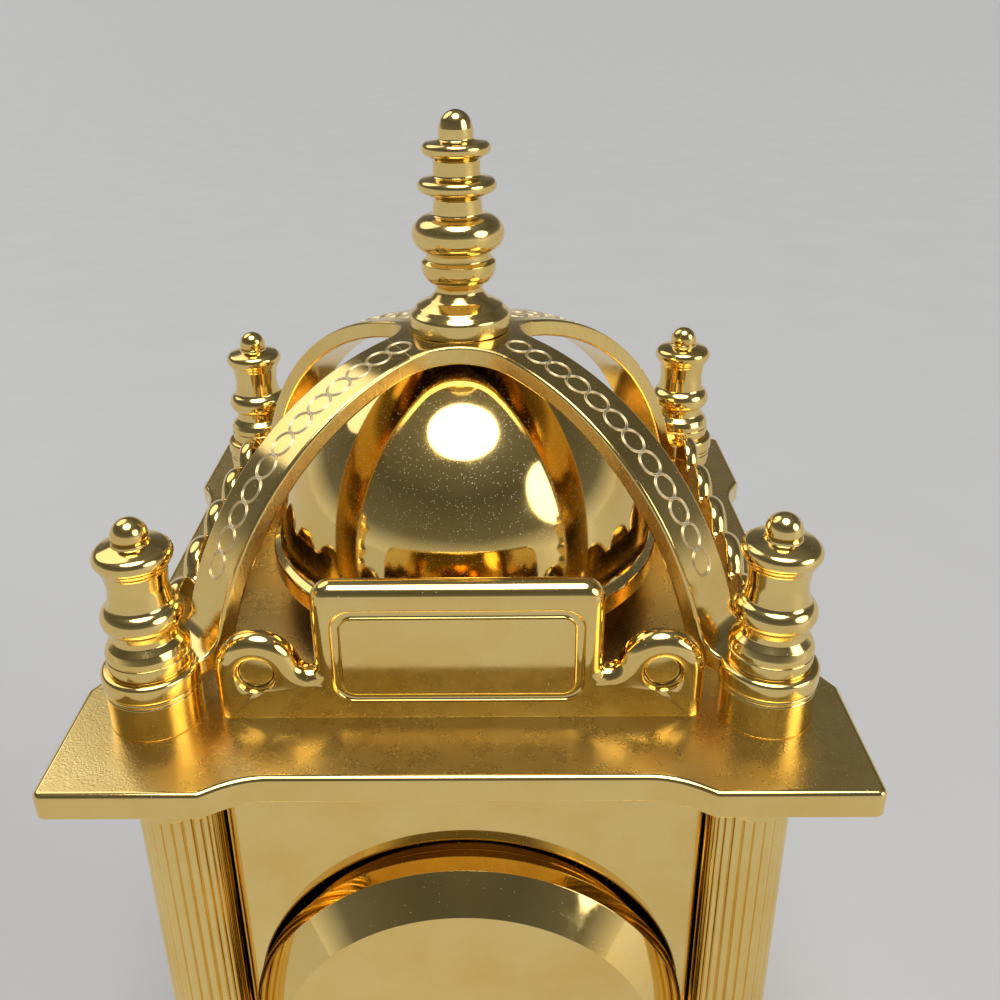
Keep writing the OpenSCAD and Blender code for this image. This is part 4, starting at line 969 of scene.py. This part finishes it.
class CLOCK_OT_framed_frets(bpy.types.Operator):
    """Makes the front and rear frets: band, round lobes with countersunk eyes and a framed bare panel"""

    bl_idname = "clock.framed_frets"
    bl_label = "Framed frets"

    def half_outline(self):
        """Right half of the outline from the foot to the middle of the panel's top."""
        end, lobe, top, valley, panel = 20.6, 3.6, FRET_EYE_Z, 4.4, 12.1
        cx, bend, nook = end - lobe, 1.2, 0.4
        panel_h, corner = 12.8, 1.8
        rise = valley + bend - top
        run = math.sqrt((lobe + bend) ** 2 - rise ** 2)
        lean = math.degrees(math.atan2(rise, run))
        line = [(end, FRET_FOOT), (end, 2.0)] + arc(cx, top, lobe, 0, 180 - lean, 26)
        line += arc(cx - run, valley + bend, bend, -lean, -90, 10)[1:]
        line += arc(panel + nook, valley + nook, nook, 270, 180, 5)[1:]
        return line + arc(panel - corner, panel_h - corner, corner, 0, 90, 10)

    def rounded(self, w, h, z, r):
        """A rounded rectangle on the centre line, with its lower edge at z."""
        x, mid = w / 2 - r, z + h / 2
        line = arc(x, mid + h / 2 - r, r, 0, 90, 8) + arc(-x, mid + h / 2 - r, r, 90, 180, 8)
        return line + arc(-x, mid - h / 2 + r, r, 180, 270, 8) + arc(x, mid - h / 2 + r, r, 270, 360, 8)

    def execute(self, context):
        low, high = node_box("rear_fret")
        roof = node_box("top_plate")[1].z
        y, half = (low.y + high.y) / 2, (high.y - low.y) / 2
        frame_w, frame_h, frame_foot, groove, groove_depth = 21.0, 9.1, 1.6, 0.45, 0.34
        back_edge, edge = 0.25, sizes().fret_edge / MM
        right = self.half_outline()
        outline = right + [(-a, b) for a, b in reversed(right)]
        for fret, turn in (("rear_fret", 0.0), ("front_fret", math.pi)):
            bm = bmesh.new()
            back, face = slab_rims(bm, outline, -half, half, back_edge, edge, finish=1)
            fronts, backs = [face], [back]
            frame_line = self.rounded(frame_w - 2 * groove, frame_h - 2 * groove, frame_foot + groove, 1.4)
            loops = []
            for k in range(9):
                a = math.pi * k / 8
                ring = inset(frame_line, -groove * math.cos(a))
                loops.append([(p, q, half - groove_depth * math.sin(a) ** 0.7) for p, q in ring])
            rings = loft(bm, loops, 1)
            fronts.append(rings[0])
            cap(bm, [rings[-1]], 0)
            for side in (-1, 1):
                sink = ((1.78, 0), (1.73, 0.03), (1.69, 0.1), (1.62, 0.6), (1.54, 0.66), (1.53, half),
                        (1.53, 2 * half))
                eye = []
                for r, depth in sink:
                    circle = arc(side * FRET_EYE_X, FRET_EYE_Z, r, 0, 352.5, 47)
                    eye.append([(p, q, half - depth) for p, q in circle])
                rings = loft(bm, eye, 1)
                fronts.append(rings[0])
                backs.append(rings[-1])
            cap(bm, fronts, 0)
            cap(bm, backs, 0)
            stand = Matrix(((-1, 0, 0, 0), (0, 0, 1, y), (0, 1, 0, roof), (0, 0, 0, 1)))
            bm.transform(Matrix.Rotation(turn, 4, "Z") @ stand)
            coats = [gilt("fret face"), gilt("polished edge")]
            attach(new_piece(fret.replace("fret", "framed_fret"), bm, coats), "gilt_satin", fret)
        return {"FINISHED"}


class CLOCK_OT_side_frets(bpy.types.Operator):
    """Makes the two side frets with their round scallops"""

    bl_idname = "clock.side_frets"
    bl_label = "Side frets"

    def execute(self, context):
        roof = node_box("top_plate")[1].z
        for side, fret in ((-1, "left_fret"), (1, "right_fret")):
            low, high = node_box(fret)
            x, half = (low.x + high.x) / 2, (high.x - low.x) / 2
            count, r, level, bend, shoulder, back_edge = 5, 3.3, 4.8, 0.9, 2.4, 0.3
            run = high.y - low.y - 2 * r
            pitch = run / (count - 1)
            lift = math.sqrt(max(0.0, (r + bend) ** 2 - pitch ** 2 / 4))
            lean = math.degrees(math.atan2(lift, pitch / 2))
            outline = [(-run / 2 - r, FRET_FOOT), (run / 2 + r, FRET_FOOT), (run / 2 + r, shoulder)]
            for i in range(count):
                centre = run / 2 - i * pitch
                start = 0 if i == 0 else lean
                end = 180 if i == count - 1 else 180 - lean
                outline += arc(centre, level, r, start, end, 20)
                if i < count - 1:
                    outline += arc(centre - pitch / 2, level + lift, bend, -lean, -180 + lean, 10)[1:-1]
            outline.append((-run / 2 - r, shoulder))
            bm = bmesh.new()
            edge = sizes().fret_edge / MM
            back, face = slab_rims(bm, outline, -half, half, back_edge, edge, finish=1)
            cap(bm, [back], 0)
            cap(bm, [face], 0)
            stand = Matrix(((0, 0, side, x), (side, 0, 0, 0), (0, 1, 0, roof), (0, 0, 0, 1)))
            bm.transform(stand)
            coats = [gilt("fret face"), gilt("polished edge")]
            attach(new_piece(fret.replace("fret", "scalloped_fret"), bm, coats), "gilt_satin", fret)
        return {"FINISHED"}


class CLOCK_OT_fret_studs(bpy.types.Operator):
    """Makes the round studs in the frets' eyes"""

    bl_idname = "clock.fret_studs"
    bl_label = "Fret studs"

    def execute(self, context):
        front = node_box("fret_studs")[1].y
        roof = node_box("top_plate")[1].z
        r, tall = 1.5, 1.2
        bm = bmesh.new()
        for turn in (0.0, math.pi):
            for side in (-1, 1):
                stud = lathe(eased([(0, 0, 0), (r, 0, 0.1), (r, tall, 0.22), (0, tall, 0)]), steps=48)
                place = Matrix.Translation((side * FRET_EYE_X, front - tall, roof + FRET_EYE_Z))
                upright = Matrix.Rotation(-math.pi / 2, 4, "X")
                stud.transform(Matrix.Rotation(turn, 4, "Z") @ place @ upright)
                add_part(bm, stud)
        attach(new_piece("round_fret_studs", bm, [gilt("turned")]), "gilt_mirror", "fret_studs")
        return {"FINISHED"}


class CLOCK_OT_rear_cover(bpy.types.Operator):
    """Makes the bevelled round rear cover on its narrow neck, with a flat polished face"""

    bl_idname = "clock.rear_cover"
    bl_label = "Rear cover"

    def execute(self, context):
        panel = node_box("rear_panel")[1].y
        steps = [(0, 5.3, 0), (18.4, 5.3, 0.12), (21.3, 2.5, 0.14)] + COVER_NECK
        steps += [(19.24, -4, 0.15), (18.14, -4, 0.15), (18.14, 1.95, 0.3), (17.3, 4.2, 0.3), (0, 4.2, 0)]
        bm = lathe(eased(steps), steps=160)
        bm.transform(Matrix.Translation((0, panel, DIAL_Z)) @ Matrix.Rotation(-math.pi / 2, 4, "X"))
        piece = new_piece("bevelled_rear_cover", bm, [gilt("mirror")], sharp=30)
        attach(piece, "gilt_mirror", "rear_cover", body="rear_cover")
        return {"FINISHED"}


class CLOCK_OT_bezel(bpy.types.Operator):
    """Makes the turned bezel and its flat glass"""

    bl_idname = "clock.bezel"
    bl_label = "Bezel and glass"

    def execute(self, context):
        panel = node_box("front_panel")[0].y
        steps = [(17.6, 6.8, 0.15), (18.5, 6.8, 0.3), (21.3, 2.5, 0.2)] + COVER_NECK
        steps += [(19.24, -1, 0.1), (18.49, -1, 0.1), (18.49, 5.8, 0), (17.6, 5.8, 0)]
        stand = Matrix.Translation((0, panel, DIAL_Z)) @ Matrix.Rotation(math.pi / 2, 4, "X")
        bm = lathe(eased(steps, closed=True), closed=True, steps=160)
        bm.transform(stand)
        attach(new_piece("turned_bezel", bm, [gilt("mirror")], sharp=30), "gilt_mirror", "bezel")
        low, high = node_box("glass")
        r, t, near = (high.x - low.x) / 2, high.y - low.y, panel - high.y
        bm = lathe(eased([(0, near, 0), (r, near, 0.12), (r, near + t, 0.12), (0, near + t, 0)]), steps=96)
        bm.transform(stand)
        attach(new_piece("dial_glass", bm, [glass_coat()], sharp=30), "clear_glass", "glass")
        return {"FINISHED"}


class CLOCK_OT_dial(bpy.types.Operator):
    """Paints the dial and prints its minute track and numerals"""

    bl_idname = "clock.dial"
    bl_label = "Dial printing"

    def letter(self, kind):
        """Strokes of a serif letter one unit high, as four-sided shapes, and its width."""
        def stroke(x0, y0, x1, y1, w):
            return [(x0 - w / 2, y0), (x0 + w / 2, y0), (x1 + w / 2, y1), (x1 - w / 2, y1)]

        def serif(x, y, w):
            return stroke(x, y - 0.035 if y > 0.5 else y, x, y if y > 0.5 else y + 0.035, w)

        if kind == "I":
            return [stroke(0.2, 0, 0.2, 1, 0.16), serif(0.2, 0, 0.36), serif(0.2, 1, 0.36)], 0.42
        if kind == "V":
            return [stroke(0.44, 0, 0.18, 1, 0.17), stroke(0.44, 0, 0.68, 1, 0.06),
                    serif(0.18, 1, 0.36), serif(0.68, 1, 0.28)], 0.86
        return [stroke(0.68, 0, 0.2, 1, 0.17), stroke(0.2, 0, 0.68, 1, 0.06), serif(0.2, 1, 0.36),
                serif(0.68, 1, 0.28), serif(0.2, 0, 0.28), serif(0.68, 0, 0.36)], 0.88

    def execute(self, context):
        paint(dial_coat(), "dial")
        face = node_box("dial")[0].y
        ink, numeral_foot, widest = 0.02, 12.2, 1.75
        track = seed_piece("minute_track")
        grow(track, minute_tree(), {"Radius": 0.0166, "Track": 0.0009, "Bar": 0.00011, "Ink": ink * MM,
                                    "Material": black_coat()})
        upright = Matrix.Translation((0, (face - ink / 2) * MM, DIAL_Z * MM))
        track.data.transform(upright @ Matrix.Rotation(math.pi / 2, 4, "X"))
        attach(track, "hand_black")
        tall = sizes().numeral_height / MM
        bm = bmesh.new()
        for hour, numeral in enumerate(NUMERALS):
            shapes, width = [], 0.0
            for kind in numeral:
                strokes, advance = self.letter(kind)
                shapes += [[(x + width, y) for x, y in s] for s in strokes]
                width += advance
            spread = min(1.0, widest / width)
            turn = -math.radians(30 * hour)
            for shape in shapes:
                corners = []
                for x, y in shape:
                    flat = Vector(((x - width / 2) * spread * tall, numeral_foot + y * tall))
                    p = Matrix.Rotation(turn, 2) @ flat
                    corners.append((p.x, face, DIAL_Z + p.y))
                printed = bm.faces.new([bm.verts.new(p) for p in corners])
                made = bmesh.ops.extrude_face_region(bm, geom=[printed])["geom"]
                lifted = [item for item in made if isinstance(item, bmesh.types.BMVert)]
                bmesh.ops.translate(bm, verts=lifted, vec=(0, -ink, 0))
        attach(new_piece("dial_numerals", bm, [black_coat()], sharp=20), "hand_black")
        return {"FINISHED"}


class CLOCK_OT_case(bpy.types.Operator):
    """Polishes the case panels"""

    bl_idname = "clock.case"
    bl_label = "Case panels"

    def execute(self, context):
        paint(gilt("mirror"), "rear_panel", "front_panel", "left_panel", "right_panel")
        return {"FINISHED"}


class CLOCK_OT_movement(bpy.types.Operator):
    """Finishes the movement, the hands and the fixings"""

    bl_idname = "clock.movement"
    bl_label = "Movement and hands"

    def execute(self, context):
        paint(steel_coat(), "bell_stud", "bell_nut", "dial_screws", "fixing_nut", "centre_arbor", "stator",
              "crystal", "button_cell")
        paint(black_coat(), "hour_hand", "minute_hand")
        paint(plastic_coat(), "movement_front", "movement_back", "train_bridge")
        paint(brass_coat(), "hour_wheel", "minute_wheel", "centre_wheel", "third_wheel", "reduction_wheel",
              "cell_contacts")
        paint(magnet_coat(), "rotor")
        paint(knob_coat(), "setting_knob")
        paint(copper_coat(), "coil")
        paint(board_coat(), "circuit_board")
        return {"FINISHED"}


class CLOCK_OT_stage(bpy.types.Operator):
    """Makes the pale floor, the soft lamps, the room's light and the camera"""

    bl_idname = "clock.stage"
    bl_label = "Stage"

    def soft_light(self, name, towards, strength, spread):
        """A large soft light far away, seen from the clock in the given direction."""
        data = bpy.data.lights.new(name, "SUN")
        data.energy = strength
        data.angle = math.radians(spread)
        lamp = bpy.data.objects.new(name, data)
        lamp.rotation_euler = (-Vector(towards)).to_track_quat("-Z", "Y").to_euler()
        bpy.context.scene.collection.objects.link(lamp)

    def room(self, strength):
        """Light from the room: pale at the horizon, dimmer above it."""
        world = bpy.data.worlds.new("Room")
        world.use_nodes = True
        tree = world.node_tree
        back = tree.nodes["Background"]
        place = node(tree, "ShaderNodeTexCoord").outputs["Generated"]
        height = node(tree, "ShaderNodeSeparateXYZ", [("Vector", place)]).outputs["Z"]
        ramp = node(tree, "ShaderNodeValToRGB", [("Fac", height)])
        levels = ramp.color_ramp.elements
        levels[0].position, levels[0].color = 0.0, (0.68, 0.68, 0.68, 1)
        levels[1].position, levels[1].color = 1.0, (0.20, 0.20, 0.205, 1)
        for position, level in ((0.08, 0.50), (0.22, 0.15), (0.6, 0.09)):
            levels.new(position).color = (level, level, level * 1.02, 1)
        tree.links.new(ramp.outputs[0], back.inputs["Color"])
        back.inputs["Strength"].default_value = strength
        bpy.context.scene.world = world

    def camera(self):
        """The view from close above the rear edge of the top plate."""
        data = bpy.data.cameras.new("Camera")
        data.sensor_width = 36
        data.lens = 37.09
        data.shift_x = 0.0233
        data.shift_y = -0.0661
        data.clip_start = 0.005
        yaw, pitch, roll = math.radians(-1.109), math.radians(23.951), math.radians(0.987)
        ahead = Vector((-math.sin(yaw) * math.cos(pitch), -math.cos(yaw) * math.cos(pitch), -math.sin(pitch)))
        right = Vector((-math.cos(yaw), math.sin(yaw), 0))
        down = ahead.cross(right)
        across = math.cos(roll) * right + math.sin(roll) * down
        down = -math.sin(roll) * right + math.cos(roll) * down
        camera = bpy.data.objects.new("Camera", data)
        turn = Matrix((across, -down, -ahead)).transposed()
        camera.matrix_world = Matrix.Translation(Vector((-3.215, 93.98, 146.331)) * MM) @ turn.to_4x4()
        bpy.context.scene.collection.objects.link(camera)
        bpy.context.scene.camera = camera

    def execute(self, context):
        light = stage()
        mesh = bpy.data.meshes.new("floor")
        reach = 40
        corners = [(-reach, -reach, 0), (reach, -reach, 0), (reach, reach, 0), (-reach, reach, 0)]
        mesh.from_pydata(corners, [], [(0, 1, 2, 3)])
        floor = bpy.data.objects.new("floor", mesh)
        bpy.context.scene.collection.objects.link(floor)
        pale = tuple(light.floor)
        mesh.materials.append(plain_coat("Pale floor", pale, shade(pale, 0.97), 0.55, 0.05, (900, 0.00001),
                                         variation=30.0))
        self.soft_light("overhead", (-0.01, 0.19, 0.98), light.overhead, 38)
        self.soft_light("side", (-0.82, 0.37, 0.43), light.side, 34)
        self.soft_light("back", (0.55, -0.45, 0.70), light.back, 40)
        self.room(light.room)
        self.camera()
        bpy.context.scene.view_settings.view_transform = "Standard"
        return {"FINISHED"}


PIECES = (CLOCK_OT_plates, CLOCK_OT_columns, CLOCK_OT_feet, CLOCK_OT_collars, CLOCK_OT_corner_finials,
          CLOCK_OT_top_finial, CLOCK_OT_bell, CLOCK_OT_bell_strap, CLOCK_OT_framed_frets, CLOCK_OT_side_frets,
          CLOCK_OT_fret_studs, CLOCK_OT_rear_cover, CLOCK_OT_bezel, CLOCK_OT_dial, CLOCK_OT_case,
          CLOCK_OT_movement, CLOCK_OT_stage)
SETTINGS = (("clock_sizes", ClockSizes), ("clock_finishes", ClockFinishes), ("clock_stage", ClockStage))


class CLOCK_PT_sidebar(bpy.types.Panel):
    """Lists the clock's settings and pieces"""

    bl_idname = "CLOCK_PT_sidebar"
    bl_label = "Miniature lantern clock"
    bl_space_type = "VIEW_3D"
    bl_region_type = "UI"
    bl_category = "Clock"

    def draw(self, context):
        for key, group in SETTINGS:
            box = self.layout.box()
            for name in group.__annotations__:
                box.prop(getattr(context.scene, key), name)
        for operator in PIECES:
            self.layout.operator(operator.bl_idname)


def register():
    for key, group in SETTINGS:
        bpy.utils.register_class(group)
        setattr(bpy.types.Scene, key, PointerProperty(type=group))
    for operator in PIECES:
        bpy.utils.register_class(operator)
    bpy.utils.register_class(CLOCK_PT_sidebar)


def unregister():
    bpy.utils.unregister_class(CLOCK_PT_sidebar)
    for operator in reversed(PIECES):
        bpy.utils.unregister_class(operator)
    for key, group in reversed(SETTINGS):
        delattr(bpy.types.Scene, key)
        bpy.utils.unregister_class(group)


def main():
    register()
    for operator in PIECES:
        group, name = operator.bl_idname.split(".")
        getattr(getattr(bpy.ops, group), name)()


if __name__ == "__main__":
    main()
